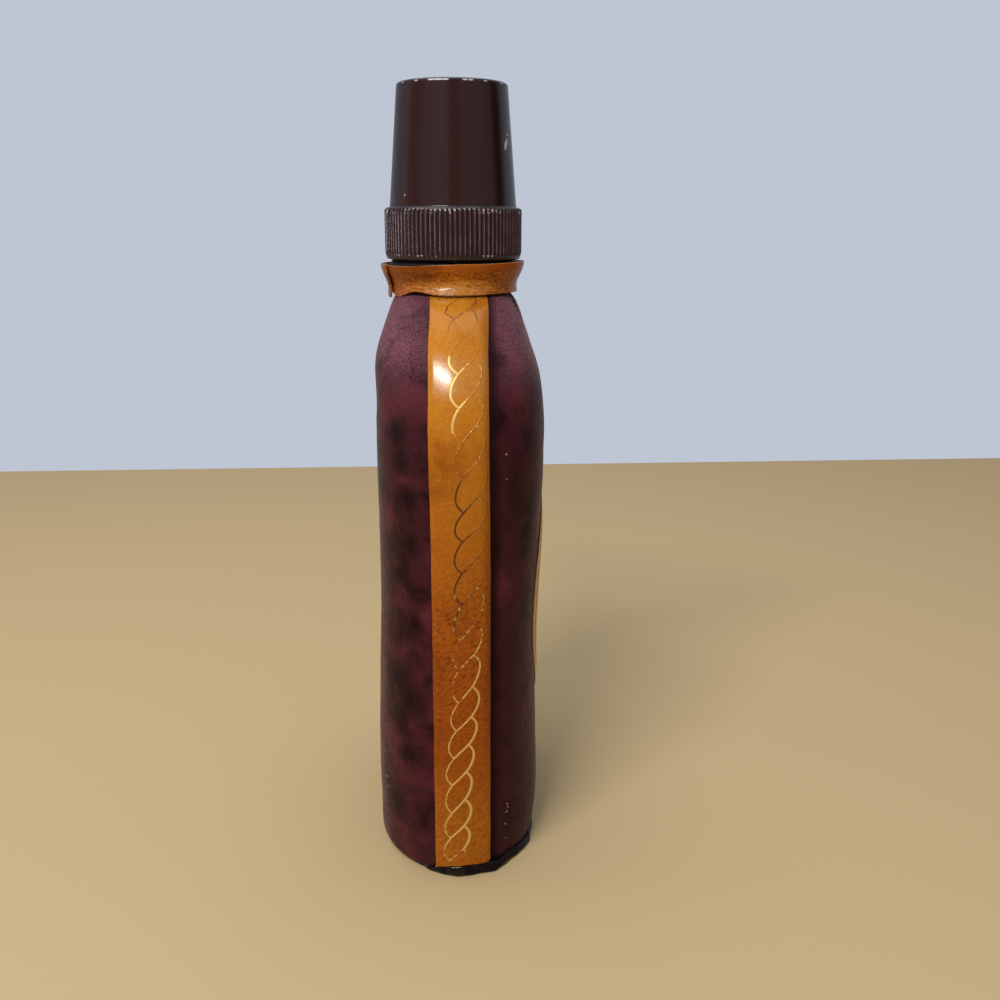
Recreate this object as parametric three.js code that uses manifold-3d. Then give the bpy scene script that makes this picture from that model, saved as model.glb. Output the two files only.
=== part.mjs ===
// Leather-wrapped glass decanter with a jigger cap.
// Millimetres, +Z up, X across the wide faces, Y through the thickness, front face towards -Y.
// The middle of the sole's underside is the origin.

import * as THREE from 'three';
import { mergeVertices } from 'three/addons/utils/BufferGeometryUtils.js';
import Module from 'manifold-3d';

const wasm = await Module();
wasm.setup();

// Clearances
const GLUE_GAP = 0.3; // between glued layers
const SEAT_GAP = 0.3; // between a piece and what it rests on
const FIT_GAP = 0.35; // between a piece and the hole it slides in
const THREAD_GAP = 0.4; // between a thread's crest and the wall it faces
const CAP_GAP = 1.4; // from the bead up to the skirt of the cap

// Glass body
const GLASS_HALF_WIDTH = 53.2;
const GLASS_HALF_DEPTH = 25.9;
const GLASS_END = 33.5; // length of the rounded end of the oval
const GLASS_WALL = 2.6;
const GLASS_FLOOR = 4;
const HEEL_RADIUS = 3;
const BODY_HEIGHT = 137.3;
const SHOULDER_HEIGHT = 50; // across the width
const SHOULDER_FULLNESS = 1.8;
const SLOPE_HEIGHT = 40; // through the thickness
const SLOPE_FULLNESS = 1.5;

// Glass neck
const NECK_RADIUS = 17.2;
const NECK_HEIGHT = 0.6;
const BEAD_RADIUS = 21;
const BEAD_FLARE = 6.2;
const BEAD_HEIGHT = 2.7;
const BORE_RADIUS = 14.6;
const FINISH_RADIUS = 19.2;
const FINISH_HEIGHT = 15;
const RIM_ROUND = 0.8;

// Screw thread
const PITCH = 4.2;
const THREAD_DEPTH = 1.1;
const THREAD_FOOT = 2.1;
const THREAD_CREST = 0.9;
const GLASS_TURNS = 1.4;
const CAP_TURNS = 1.1;
const THREAD_START = 4.5; // above the bead

// Jigger cap
const SKIRT_WALL = 1.6;
const SKIRT_TOP = 1.3; // above the sealing ledge
const RIB_COUNT = 90;
const RIB_DEPTH = 0.5;
const RIB_RUNOUT = 0.9;
const RIM_HEIGHT = 1.3; // plain rim below the ribs
const CUP_FOOT_RADIUS = 21;
const CUP_TOP_RADIUS = 18;
const CUP_HEIGHT = 38.2;
const CUP_WALL = 2.2;
const CUP_EDGE = 1.2;
const LEDGE_WIDTH = 2.5;

// Liner and stopper
const LINER_THICKNESS = 1;
const LINER_WIDTH = 3.2;
const FLANGE_OVERLAP = 1.2;
const FLANGE_THICKNESS = 1.2;
const PLUG_LENGTH = 12;
const PLUG_WALL = 1.4;
const PLUG_TAPER = 0.5;

// Leather
const PANEL_THICKNESS = 1.2;
const SEAM_GAP = 1.2; // between the two panels, under a strip
const STRIP_WIDTH = 19.2;
const STRIP_THICKNESS = 1;
const COLLAR_THICKNESS = 1.2;
const COLLAR_HEIGHT = 9.8;
const COLLAR_OVERLAP = 0.32; // radians of lap
const COLLAR_RAMP = 0.45; // radians over which the lap climbs
const COLLAR_LAP_AT = 1.83; // radians from +X to the end of the lap
const PANEL_PROUD = 0.5; // panel ends showing over the collar
const SOLE_THICKNESS = 2.4;
const SOLE_PROUD = 0.9; // past the panels
const SOLE_CHAMFER = 0.5;
const MEDALLION_HALF_WIDTH = 33;
const MEDALLION_HALF_HEIGHT = 44;
const MEDALLION_HEIGHT = 88; // of its middle
const MEDALLION_THICKNESS = 0.8;

// Facets
const ROUND = 44;
const WRAP = 22;
const FINE = 60;

// Levels
const Z_GLASS = SOLE_THICKNESS + GLUE_GAP;
const Z_SHOULDER = Z_GLASS + BODY_HEIGHT;
const Z_NECK = Z_SHOULDER + SHOULDER_HEIGHT;
const Z_FLARE = Z_NECK + NECK_HEIGHT;
const Z_BEAD = Z_FLARE + BEAD_FLARE;
const Z_FINISH = Z_BEAD + BEAD_HEIGHT;
const Z_RIM = Z_FINISH + FINISH_HEIGHT;
const Z_SKIRT = Z_FINISH + CAP_GAP;
const Z_LINER = Z_RIM + SEAT_GAP;
const Z_LEDGE = Z_LINER + LINER_THICKNESS + SEAT_GAP;
const Z_SKIRT_TOP = Z_LEDGE + SKIRT_TOP;
const Z_TOP = Z_SKIRT_TOP + CUP_HEIGHT;
const Z_THREAD = Z_FINISH + THREAD_START;

// Fits
const SKIRT_BORE = FINISH_RADIUS + THREAD_DEPTH + THREAD_GAP;
const RIB_ROOT = SKIRT_BORE + SKIRT_WALL;
const LEDGE_RADIUS = SKIRT_BORE - LEDGE_WIDTH;
const FLANGE_RADIUS = BORE_RADIUS + FLANGE_OVERLAP;
const LINER_BORE = FLANGE_RADIUS + FIT_GAP;
const PANEL_OUT = GLUE_GAP + PANEL_THICKNESS;
const STRIP_IN = PANEL_OUT + GLUE_GAP;
const COLLAR_TOP = Z_FINISH + SEAT_GAP;
const COLLAR_FOOT = COLLAR_TOP - COLLAR_HEIGHT;

function clamp01(t) {
  return Math.min(1, Math.max(0, t));
}

function steps(from, to, count) {
  const list = [];
  for (let i = 0; i <= count; i += 1) {
    list.push(from + ((to - from) * i) / count);
  }
  return list;
}

// How much of the body's size is left at a height: 1 on the body, 0 at the neck.
function bodyShare(z, height, fullness) {
  const s = clamp01((z - Z_NECK + height) / height);
  return (1 - s ** fullness) ** (1 / fullness);
}

function heelInset(z) {
  const up = Math.min(HEEL_RADIUS, Math.max(0, z - Z_GLASS));
  return HEEL_RADIUS - Math.sqrt(HEEL_RADIUS ** 2 - (HEEL_RADIUS - up) ** 2);
}

function neckRadius(z) {
  const t = clamp01((z - Z_FLARE) / BEAD_FLARE);
  return NECK_RADIUS + (BEAD_RADIUS - NECK_RADIUS) * t * t * (3 - 2 * t);
}

// Half sizes of the glass outline at a height, grown by an offset.
function outline(z, grow) {
  const wide = bodyShare(z, SHOULDER_HEIGHT, SHOULDER_FULLNESS);
  const deep = bodyShare(z, SLOPE_HEIGHT, SLOPE_FULLNESS);
  const neck = neckRadius(z) + grow - heelInset(z);
  return {
    width: neck + (GLASS_HALF_WIDTH - NECK_RADIUS) * wide,
    depth: neck + (GLASS_HALF_DEPTH - NECK_RADIUS) * deep,
    end: neck + (GLASS_END - NECK_RADIUS) * wide,
  };
}

// A point of an oval with straight sides and rounded ends.
function ovalPoint(half, angle, z) {
  const flat = half.width - half.end;
  const c = Math.cos(angle);
  const side = Math.abs(c) < 1e-9 ? 0 : Math.sign(c);
  return new THREE.Vector3(side * flat + half.end * c, half.depth * Math.sin(angle), z);
}

function ovalRing(half, z, count = ROUND) {
  const ring = [];
  for (let i = 0; i < count; i += 1) {
    ring.push(ovalPoint(half, (2 * Math.PI * i) / count, z));
  }
  return ring;
}

function circleRing(radius, z, count = ROUND) {
  return ovalRing({ width: radius, depth: radius, end: radius }, z, count);
}

function solidFrom(points, index) {
  let volume = 0;
  for (let i = 0; i < index.length; i += 3) {
    const [a, b, c] = [points[index[i]], points[index[i + 1]], points[index[i + 2]]];
    volume += a.dot(new THREE.Vector3().crossVectors(b, c));
  }
  if (volume < 0) {
    index.reverse();
  }
  const geometry = new THREE.BufferGeometry().setFromPoints(points);
  geometry.setIndex(index);
  return geometry;
}

// A closed body through rings of equal count, its two ends closed by fans.
function loft(rings) {
  const count = rings[0].length;
  const points = rings.flat();
  const index = [];
  for (let r = 0; r + 1 < rings.length; r += 1) {
    for (let i = 0; i < count; i += 1) {
      const a = r * count + i;
      const b = r * count + ((i + 1) % count);
      index.push(a, b, b + count, a, b + count, a + count);
    }
  }
  const ends = [rings[0], rings[rings.length - 1]];
  ends.forEach((ring, last) => {
    const middle = new THREE.Vector3();
    ring.forEach((p) => middle.addScaledVector(p, 1 / count));
    points.push(middle);
    const start = last ? (rings.length - 1) * count : 0;
    for (let i = 0; i < count; i += 1) {
      const a = start + i;
      const b = start + ((i + 1) % count);
      index.push(...(last ? [a, b, points.length - 1] : [b, a, points.length - 1]));
    }
  });
  return solidFrom(points, index);
}

// A closed sheet between an inner and an outer face over a grid of u and v.
function sheet(us, vs, facePoint) {
  const points = [];
  for (const outer of [0, 1]) {
    for (const v of vs) {
      for (const u of us) {
        points.push(facePoint(u, v, outer));
      }
    }
  }
  const across = us.length;
  const layer = across * vs.length;
  const index = [];
  const quad = (a, b, c, d) => index.push(a, b, c, a, c, d);
  for (let v = 0; v + 1 < vs.length; v += 1) {
    for (let u = 0; u + 1 < across; u += 1) {
      const a = v * across + u;
      quad(a + 1, a, a + across, a + across + 1);
      quad(layer + a, layer + a + 1, layer + a + across + 1, layer + a + across);
    }
  }
  for (let u = 0; u + 1 < across; u += 1) {
    const top = layer - across + u;
    quad(u, u + 1, layer + u + 1, layer + u);
    quad(top + 1, top, layer + top, layer + top + 1);
  }
  for (let v = 0; v + 1 < vs.length; v += 1) {
    const a = v * across;
    const b = a + across - 1;
    quad(a + across, a, layer + a, layer + a + across);
    quad(b, b + across, layer + b + across, layer + b);
  }
  return solidFrom(points, index);
}

// A turned piece from a closed profile of [radius, height].
function turned(profile, count = ROUND) {
  const points = profile.map(([r, z]) => new THREE.Vector2(r, z));
  points.push(points[0].clone());
  const geometry = new THREE.LatheGeometry(points, count);
  geometry.rotateX(Math.PI / 2);
  return outward(geometry);
}

function bare(geometry) {
  const copy = geometry.clone();
  copy.deleteAttribute('normal');
  copy.deleteAttribute('uv');
  return mergeVertices(copy, 1e-4);
}

function outward(geometry) {
  const merged = bare(geometry);
  const at = merged.getAttribute('position');
  const points = [];
  for (let i = 0; i < at.count; i += 1) {
    points.push(new THREE.Vector3().fromBufferAttribute(at, i));
  }
  const index = [];
  const all = Array.from(merged.index.array);
  for (let i = 0; i < all.length; i += 3) {
    const [a, b, c] = all.slice(i, i + 3);
    if (a !== b && b !== c && c !== a) {
      index.push(a, b, c);
    }
  }
  return solidFrom(points, index);
}

function toSolid(geometry) {
  const merged = bare(geometry);
  return new wasm.Manifold(new wasm.Mesh({
    numProp: 3,
    vertProperties: new Float32Array(merged.getAttribute('position').array),
    triVerts: new Uint32Array(merged.index.array),
  }));
}

function fromSolid(solid) {
  const mesh = solid.getMesh();
  const geometry = new THREE.BufferGeometry();
  geometry.setAttribute('position', new THREE.BufferAttribute(mesh.vertProperties, 3));
  geometry.setIndex(new THREE.BufferAttribute(mesh.triVerts, 1));
  return geometry;
}

// A right-hand ridge. root is buried in the wall it stands on; its ends run out.
function threadRidge(root, crest, low, turns, startTurn) {
  const count = Math.round(turns * 24);
  const rings = steps(0, turns, count).map((turn) => {
    const runout = clamp01(Math.min(turn, turns - turn) / 0.12);
    const angle = 2 * Math.PI * (turn + startTurn);
    const z = low + PITCH * (turn + startTurn);
    const far = root + (crest - root) * (0.35 + 0.65 * runout);
    const corners = [
      [root, -THREAD_FOOT / 2],
      [far, -THREAD_CREST / 2],
      [far, THREAD_CREST / 2],
      [root, THREAD_FOOT / 2],
    ];
    return corners.map(([r, dz]) => new THREE.Vector3(r * Math.cos(angle), r * Math.sin(angle), z + dz));
  });
  return loft(rings);
}

// Heights at which the glass and everything wrapped on it has its rings.
function heelLevels() {
  return [0, 0.3, 1].map((t) => Z_GLASS + HEEL_RADIUS * t);
}

function shoulderLevels() {
  return steps(0, 1, 7).map((t) => Z_SHOULDER + SHOULDER_HEIGHT * Math.sin((t * Math.PI) / 2));
}

function flareLevels() {
  return steps(Z_FLARE, Z_BEAD, 2);
}

function glassOutside() {
  const levels = [...heelLevels(), ...shoulderLevels(), ...flareLevels()];
  const rings = levels.map((z) => ovalRing(outline(z, 0), z));
  const beadTop = Z_FINISH - (BEAD_RADIUS - FINISH_RADIUS) / 2;
  rings.push(circleRing(BEAD_RADIUS, beadTop));
  rings.push(circleRing(FINISH_RADIUS, Z_FINISH));
  rings.push(circleRing(FINISH_RADIUS, Z_RIM - RIM_ROUND));
  rings.push(circleRing(FINISH_RADIUS - RIM_ROUND, Z_RIM));
  return rings;
}

function glassInside() {
  const floor = Z_GLASS + GLASS_FLOOR;
  const shoulder = shoulderLevels().reverse();
  const rings = [
    circleRing(BORE_RADIUS + RIM_ROUND / 2, Z_RIM),
    circleRing(BORE_RADIUS, Z_RIM - RIM_ROUND),
  ];
  for (const z of shoulder) {
    const half = outline(z, 0);
    for (const key of Object.keys(half)) {
      half[key] -= GLASS_WALL;
    }
    rings.push(ovalRing(half, z));
  }
  rings.push(ovalRing(outline(floor + HEEL_RADIUS, -GLASS_WALL), floor + HEEL_RADIUS));
  rings.push(ovalRing(outline(floor + HEEL_RADIUS, -GLASS_WALL - HEEL_RADIUS), floor));
  return rings;
}

function glassBottle() {
  const body = loft([...glassOutside(), ...glassInside()]);
  const buried = FINISH_RADIUS - 0.5;
  const ridge = threadRidge(buried, FINISH_RADIUS + THREAD_DEPTH, Z_THREAD, GLASS_TURNS, 0);
  return fromSolid(toSolid(body).add(toSolid(ridge)));
}

function ribbedSkirt() {
  const ribFoot = Z_SKIRT + RIM_HEIGHT;
  const level = (z, depth) => {
    const ring = [];
    for (let i = 0; i < RIB_COUNT * 2; i += 1) {
      const angle = (Math.PI * i) / RIB_COUNT;
      const r = RIB_ROOT + (i % 2 ? depth : 0);
      ring.push(new THREE.Vector3(r * Math.cos(angle), r * Math.sin(angle), z));
    }
    return ring;
  };
  return loft([
    level(Z_SKIRT, -0.4),
    level(ribFoot, 0),
    level(ribFoot + 0.3, RIB_DEPTH),
    level(Z_SKIRT_TOP - RIB_RUNOUT, RIB_DEPTH),
    level(Z_SKIRT_TOP, 0 - RIB_DEPTH),
  ]);
}

function cupOutside() {
  const fillet = RIB_ROOT - CUP_FOOT_RADIUS;
  const edge = CUP_EDGE;
  return turned([
    [0, Z_SKIRT_TOP - 1],
    [RIB_ROOT - RIB_DEPTH, Z_SKIRT_TOP - 1],
    [CUP_FOOT_RADIUS + fillet / 3, Z_SKIRT_TOP + 0.3],
    [CUP_FOOT_RADIUS, Z_SKIRT_TOP + fillet],
    [CUP_TOP_RADIUS, Z_TOP - edge],
    [CUP_TOP_RADIUS - edge * 0.3, Z_TOP - edge * 0.3],
    [CUP_TOP_RADIUS - edge, Z_TOP],
    [0, Z_TOP],
  ], FINE);
}

function capHollow() {
  const under = Z_SKIRT - 1;
  const cupRoof = Z_TOP - CUP_WALL;
  const topRadius = CUP_TOP_RADIUS - CUP_WALL;
  return turned([
    [0, under],
    [SKIRT_BORE, under],
    [SKIRT_BORE, Z_LEDGE],
    [LEDGE_RADIUS, Z_LEDGE],
    [topRadius, cupRoof - CUP_EDGE],
    [topRadius - CUP_EDGE, cupRoof],
    [0, cupRoof],
  ], FINE);
}

function jiggerCap() {
  const crest = FINISH_RADIUS + THREAD_GAP;
  const ridge = threadRidge(SKIRT_BORE + 0.5, crest, Z_THREAD - PITCH / 2, CAP_TURNS, 0.2);
  const shell = toSolid(ribbedSkirt()).add(toSolid(cupOutside())).subtract(toSolid(capHollow()));
  return fromSolid(shell.add(toSolid(ridge)));
}

function capLiner() {
  return turned([
    [LINER_BORE, Z_LINER],
    [LINER_BORE + LINER_WIDTH, Z_LINER],
    [LINER_BORE + LINER_WIDTH, Z_LINER + LINER_THICKNESS],
    [LINER_BORE, Z_LINER + LINER_THICKNESS],
  ]);
}

function stopper() {
  const seat = Z_RIM + SEAT_GAP;
  const plug = BORE_RADIUS - FIT_GAP;
  const tip = seat - PLUG_LENGTH;
  const inner = plug - PLUG_TAPER - PLUG_WALL;
  return turned([
    [0, seat + FLANGE_THICKNESS],
    [FLANGE_RADIUS - 0.4, seat + FLANGE_THICKNESS],
    [FLANGE_RADIUS, seat + FLANGE_THICKNESS - 0.4],
    [FLANGE_RADIUS, seat],
    [plug, seat],
    [plug, seat - PLUG_LENGTH / 2],
    [plug - PLUG_TAPER, tip],
    [inner, tip],
    [inner, seat],
    [0, seat],
  ]);
}

// Leather follows the glass and stands straight up past the bead.
function leatherPoint(z, angle, grow) {
  return ovalPoint(outline(z, grow), angle, z);
}

function wrapLevels(top) {
  const levels = [...heelLevels(), ...shoulderLevels(), ...flareLevels()];
  return [...levels.filter((z) => z < top - 0.5), top];
}

function panel(side) {
  const seam = Math.asin(SEAM_GAP / 2 / GLASS_HALF_DEPTH);
  const angles = steps(seam, Math.PI - seam, WRAP).map((a) => side * a);
  const top = COLLAR_TOP + PANEL_PROUD;
  return sheet(angles, wrapLevels(top), (angle, z, outer) => leatherPoint(z, angle, outer ? PANEL_OUT : GLUE_GAP));
}

function strip(side) {
  const across = steps(-STRIP_WIDTH / 2, STRIP_WIDTH / 2, 4);
  const top = COLLAR_FOOT - SEAT_GAP;
  return sheet(across, wrapLevels(top), (y, z, outer) => {
    const half = outline(z, STRIP_IN + (outer ? STRIP_THICKNESS : 0));
    const angle = Math.asin(y / half.depth);
    return ovalPoint(half, side > 0 ? angle : Math.PI - angle, z);
  });
}

// The band starts under its own end and climbs over it.
function neckCollar() {
  const turns = steps(0, 2 * Math.PI + COLLAR_OVERLAP, ROUND);
  const levels = [COLLAR_FOOT, ...flareLevels(), COLLAR_TOP];
  const lift = COLLAR_THICKNESS + GLUE_GAP;
  const lapStart = 2 * Math.PI - COLLAR_RAMP;
  return sheet(turns, levels, (turn, z, outer) => {
    const climb = lift * clamp01((turn - lapStart) / COLLAR_RAMP);
    const grow = STRIP_IN + climb + (outer ? COLLAR_THICKNESS : 0);
    const r = neckRadius(z) + grow;
    const angle = COLLAR_LAP_AT - COLLAR_OVERLAP + turn;
    return new THREE.Vector3(r * Math.cos(angle), r * Math.sin(angle), z);
  });
}

function baseSole() {
  const level = (z, grow) => ovalRing(outline(Z_GLASS + HEEL_RADIUS, grow), z);
  const edge = PANEL_OUT + SOLE_PROUD;
  return loft([
    level(0, edge - SOLE_CHAMFER),
    level(SOLE_CHAMFER, edge),
    level(SOLE_THICKNESS - SOLE_CHAMFER, edge),
    level(SOLE_THICKNESS, edge - SOLE_CHAMFER),
  ]);
}

// A point of the front face at a place across the width.
function frontPoint(x, z, grow) {
  const half = outline(z, grow);
  const past = Math.max(0, Math.abs(x) - (half.width - half.end)) / half.end;
  return new THREE.Vector3(x, -half.depth * Math.sqrt(1 - past * past), z);
}

function frontMedallion() {
  const ring = (size, grow) => {
    const list = [];
    for (let i = 0; i < ROUND; i += 1) {
      const angle = (2 * Math.PI * i) / ROUND;
      const x = MEDALLION_HALF_WIDTH * size * Math.cos(angle);
      const z = MEDALLION_HEIGHT + MEDALLION_HALF_HEIGHT * size * Math.sin(angle);
      list.push(frontPoint(x, z, STRIP_IN + grow));
    }
    return list;
  };
  const back = [0.35, 0.62, 0.82, 1].map((size) => ring(size, 0));
  const front = [1, 0.82, 0.62, 0.35].map((size) => ring(size, MEDALLION_THICKNESS));
  return loft([...back, ...front]);
}

const LOOKS = {
  glass: { color: '#cdd6cf', roughness: 0.05, metalness: 0 },
  capPlastic: { color: '#33211f', roughness: 0.22, metalness: 0 },
  linerBoard: { color: '#d9d2c2', roughness: 0.7, metalness: 0 },
  stopperPlastic: { color: '#e6e3da', roughness: 0.45, metalness: 0 },
  maroonLeather: { color: '#43211f', roughness: 0.42, metalness: 0 },
  tanLeather: { color: '#a4601b', roughness: 0.4, metalness: 0 },
  soleLeather: { color: '#1c1312', roughness: 0.3, metalness: 0 },
};

const PIECES = [
  ['base_sole', baseSole(), 'soleLeather'],
  ['glass_bottle', glassBottle(), 'glass'],
  ['front_panel', panel(-1), 'maroonLeather'],
  ['back_panel', panel(1), 'maroonLeather'],
  ['near_strip', strip(-1), 'tanLeather'],
  ['far_strip', strip(1), 'tanLeather'],
  ['neck_collar', neckCollar(), 'tanLeather'],
  ['front_medallion', frontMedallion(), 'tanLeather'],
  ['stopper', stopper(), 'stopperPlastic'],
  ['cap_liner', capLiner(), 'linerBoard'],
  ['jigger_cap', jiggerCap(), 'capPlastic'],
];

const decanter = new THREE.Group();
decanter.name = 'leather_wrapped_decanter';
for (const [name, geometry, look] of PIECES) {
  geometry.computeVertexNormals();
  const mesh = new THREE.Mesh(geometry, new THREE.MeshStandardMaterial(LOOKS[look]));
  mesh.name = name;
  decanter.add(mesh);
}

export default decanter;
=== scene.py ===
"""A flat glass decanter wrapped in maroon and tan leather, with a ribbed jigger cap."""

import math

import bmesh
import bpy
from mathutils import Matrix, Vector, noise
from mathutils.geometry import interpolate_bezier


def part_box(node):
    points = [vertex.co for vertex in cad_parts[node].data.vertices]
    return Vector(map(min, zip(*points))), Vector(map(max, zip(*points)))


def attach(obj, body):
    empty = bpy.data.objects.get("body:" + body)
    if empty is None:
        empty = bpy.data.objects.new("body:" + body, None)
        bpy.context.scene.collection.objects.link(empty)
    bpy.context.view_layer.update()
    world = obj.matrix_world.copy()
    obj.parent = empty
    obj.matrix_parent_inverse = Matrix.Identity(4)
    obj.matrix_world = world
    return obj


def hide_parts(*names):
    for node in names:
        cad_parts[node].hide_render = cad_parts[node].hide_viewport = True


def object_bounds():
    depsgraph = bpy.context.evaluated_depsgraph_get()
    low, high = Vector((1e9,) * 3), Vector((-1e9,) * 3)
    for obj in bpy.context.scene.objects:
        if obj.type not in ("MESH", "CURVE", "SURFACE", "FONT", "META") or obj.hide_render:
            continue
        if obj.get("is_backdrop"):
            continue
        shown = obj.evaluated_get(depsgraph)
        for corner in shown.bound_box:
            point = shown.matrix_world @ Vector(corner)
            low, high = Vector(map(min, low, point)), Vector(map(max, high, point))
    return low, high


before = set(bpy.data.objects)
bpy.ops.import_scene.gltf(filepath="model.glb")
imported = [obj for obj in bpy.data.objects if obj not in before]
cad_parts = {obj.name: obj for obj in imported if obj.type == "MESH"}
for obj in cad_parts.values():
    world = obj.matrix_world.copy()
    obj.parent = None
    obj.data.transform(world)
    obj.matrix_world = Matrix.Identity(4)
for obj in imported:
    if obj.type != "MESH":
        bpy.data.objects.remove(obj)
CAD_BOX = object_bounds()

bl_info = {
    "name": "Leather-wrapped decanter",
    "version": (1, 0, 0),
    "blender": (4, 5, 0),
    "location": "View3D > Sidebar > Decanter",
    "description": "Builds a glass decanter wrapped in tooled leather, with its jigger cap",
    "category": "Object",
}

MM = 0.001
TAU = 2 * math.pi

GLASS_LOW, GLASS_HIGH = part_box("glass_bottle")
CAP_LOW, CAP_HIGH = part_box("jigger_cap")
COLLAR_LOW, COLLAR_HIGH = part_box("neck_collar")
OVAL_LOW, OVAL_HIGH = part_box("front_medallion")
PANEL_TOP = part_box("front_panel")[1][2]
SOLE_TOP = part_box("base_sole")[1][2]

# The straight middle of the body's oval lies where the cosine of its angle is below this.
STRAIGHT = 0.1

# How far the strips' faces stand over the glass, and the hidden screw thread: its start over the bead, its
# width at foot and crest, and its turns on the glass and in the cap.
STRIP_FACE = 2.8 * MM
THREAD_RISE, THREAD_FOOT, THREAD_CREST = 4.5 * MM, 2.1 * MM, 0.9 * MM
GLASS_TURNS, CAP_TURNS = 1.4, 1.1

# Columns and rows of the grids, steps round the turned pieces and points of a tooled line, then the coarse
# and fine distances under which points are merged.
GLASS_COLUMNS, SOLE_COLUMNS = 144, 360
PANEL_GRID, STRIP_GRID, COLLAR_GRID, OVAL_GRID = (132, 190), (40, 300), (320, 44), (200, 40)
TURNED_STEPS, STEPS_PER_RIB = 96, 6
LINK_POINTS, RING_POINTS, CHAIN_LEVELS = 14, 240, 2000
MERGE, FINE_MERGE = 0.004 * MM, 0.002 * MM

# Hand work round the foot as (degrees from +X, millimetres): where the leather ends and the sole's reach.
LEATHER_FOOT = (
    (0, 2.4), (60, 1.8), (95, 0.9), (130, 1.0), (150, 1.3), (157, 1.7), (162, 3.3), (174, 4.0), (184, 4.4),
    (193, 4.3), (198, 4.1), (206, 3.4), (214, 3.8), (224, 3.4), (236, 2.3), (250, 1.5), (275, 1.4),
    (310, 2.0),
)
SOLE_REACH = (
    (0, 2.0), (40, 1.8), (70, 1.4), (95, 1.0), (130, 0.9), (149, 0.9), (156, 1.8), (164, 2.3), (175, 3.1),
    (184, 2.8), (191, 2.6), (202, 3.4), (209, 2.7), (216, 2.1), (224, 2.0), (231, 2.0), (239, 2.0),
    (250, 1.1), (262, 0.8), (285, 0.8), (320, 1.5),
)
# The sole's edge from the floor up, as (share of its height, millimetres drawn in).
SOLE_EDGE = (
    (0.0, 0.9), (0.05, 0.4), (0.15, 0.12), (0.32, 0.0), (0.46, 0.12), (0.56, 0.42), (0.64, 0.3),
    (0.74, 0.12), (0.85, 0.2), (0.95, 0.6), (1.0, 1.2),
)

# The hand-guided chain: millimetres that each link rises, then by height in millimetres its sideways drift,
# its width, the breadth of its line, how that leans to one strand, and the foil that is left low down.
CHAIN_STEPS = (
    8.7, 9.4, 10.5, 9.9, 9.9, 9.9, 11.5, 10.1, 12.2, 10.3, 10.2, 9.2, 11.2, 10.1, 10.5, 10.6, 10.2, 9.8,
)
CHAIN_DRIFT = ((5, -2.3), (30, -1.35), (70, 1.2), (100, 2.5), (135, 3.2), (165, 2.3), (190, 1.4))
CHAIN_TAPER = ((5, 0.86), (60, 0.89), (105, 0.97), (140, 1.0))
LINE_BREADTH = ((0, 1.2), (40, 1.15), (60, 1.0), (90, 0.9), (145, 0.9), (157, 1.25), (172, 1.25), (179, 0.7))
LINE_LEAN = ((0, 0.3), (45, 0.3), (65, 0.2), (90, 0.0), (145, 0.0), (157, -0.4), (173, -0.4), (180, 0.0))
FOIL_LEFT = (
    (0, 0.1), (7, 0.42), (9, 0.55), (12, 0.95), (56, 0.9), (68, 0.7), (76, 0.52), (86, 0.42), (100, 0.38),
)
# One S-shaped link as curves of (start, leaving, arriving, end): across from -1 to 1, up to 2.5 links.
LINK = (
    ((-0.5, 0.0), (-0.3, 0.12), (0.0, -0.17), (-1.0, 0.40)),
    ((-1.0, 0.40), (0.0, 0.22), (-0.25, -0.15), (-0.5, 1.0)),
    ((-0.5, 1.0), (0.3, 0.16), (-0.3, -0.16), (0.5, 1.5)),
    ((0.5, 1.5), (0.25, 0.15), (0.0, -0.22), (1.0, 2.10)),
    ((1.0, 2.10), (0.0, 0.17), (0.3, -0.12), (0.5, 2.5)),
)

# Linear colours of marks, wear, painted light and shade and cut edges that the settings leave alone, then of
# the room's light.
FADED_SHEEN_MAROON, SHADED_LINING = (0.20, 0.078, 0.105, 1), (0.018, 0.016, 0.017, 1)
CHIPPED_DYE, PRESSED_LINE = (0.42, 0.33, 0.33, 1), (0.055, 0.022, 0.006, 1)
TAN_EDGE = ((0.14, 0.055, 0.014, 1), (0.44, 0.24, 0.085, 1))
MAROON_EDGE = ((0.014, 0.011, 0.011, 1), (0.045, 0.036, 0.036, 1))
RUSTY_SOLE, LINER_FOAM = (0.010, 0.004, 0.004, 1), (0.66, 0.62, 0.52, 1)
RIB_GROOVE_SHADE, RIB_CREST_HIGHLIGHT = (0.004, 0.002, 0.002, 1), (0.175, 0.098, 0.112, 1)
BARE_PLASTIC_AND_GLINTS = (0.58, 0.53, 0.56, 1)
AMBIENT, WARM, DUSK = (0.36, 0.37, 0.40, 1), (0.42, 0.17, 0.13), (0.47, 0.31, 0.33)

# Placed marks as (x, y, z, radius) in millimetres: clouds of dye with one spot of painted shade under the
# collar, painted shade along a fold and flecks in the maroon leather, the last two read without x, and
# scuffs on the cup. Painted glints along the cup's worn top edge are (across, radius).
BLACK_DYE_AND_SHADE = (
    (-43, 20, 150, 8), (-45, 19, 142, 7), (-47, 17, 130, 7), (-48, 16, 116, 6), (-43, 20, 104, 6),
    (-49, 15, 89, 6), (-47, 17, 62, 9), (-42, 21, 68, 9), (-47, 17, 41, 7), (-41, 22, 21, 9),
    (-41, -12, 172, 6), (-49, -11, 154, 6), (-42, -20, 148, 6), (-41, -22, 126, 5), (-42, -21, 118, 6),
    (-42, -21, 112, 5), (-52, -10, 114, 4), (-52, -10, 74, 4), (-13, -18, 188, 4),
)
RED_DYE = (
    (-46, 13, 161, 9), (-44, 19, 96, 8), (-39, 23, 121, 8), (-38, 23, 79, 8), (-49, 15, 52, 6),
    (-49, 15, 36, 8), (-37, -17, 172, 8), (-42, -17, 160, 9), (-50, -13, 102, 9), (-32, -13, 180, 6),
)
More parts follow.
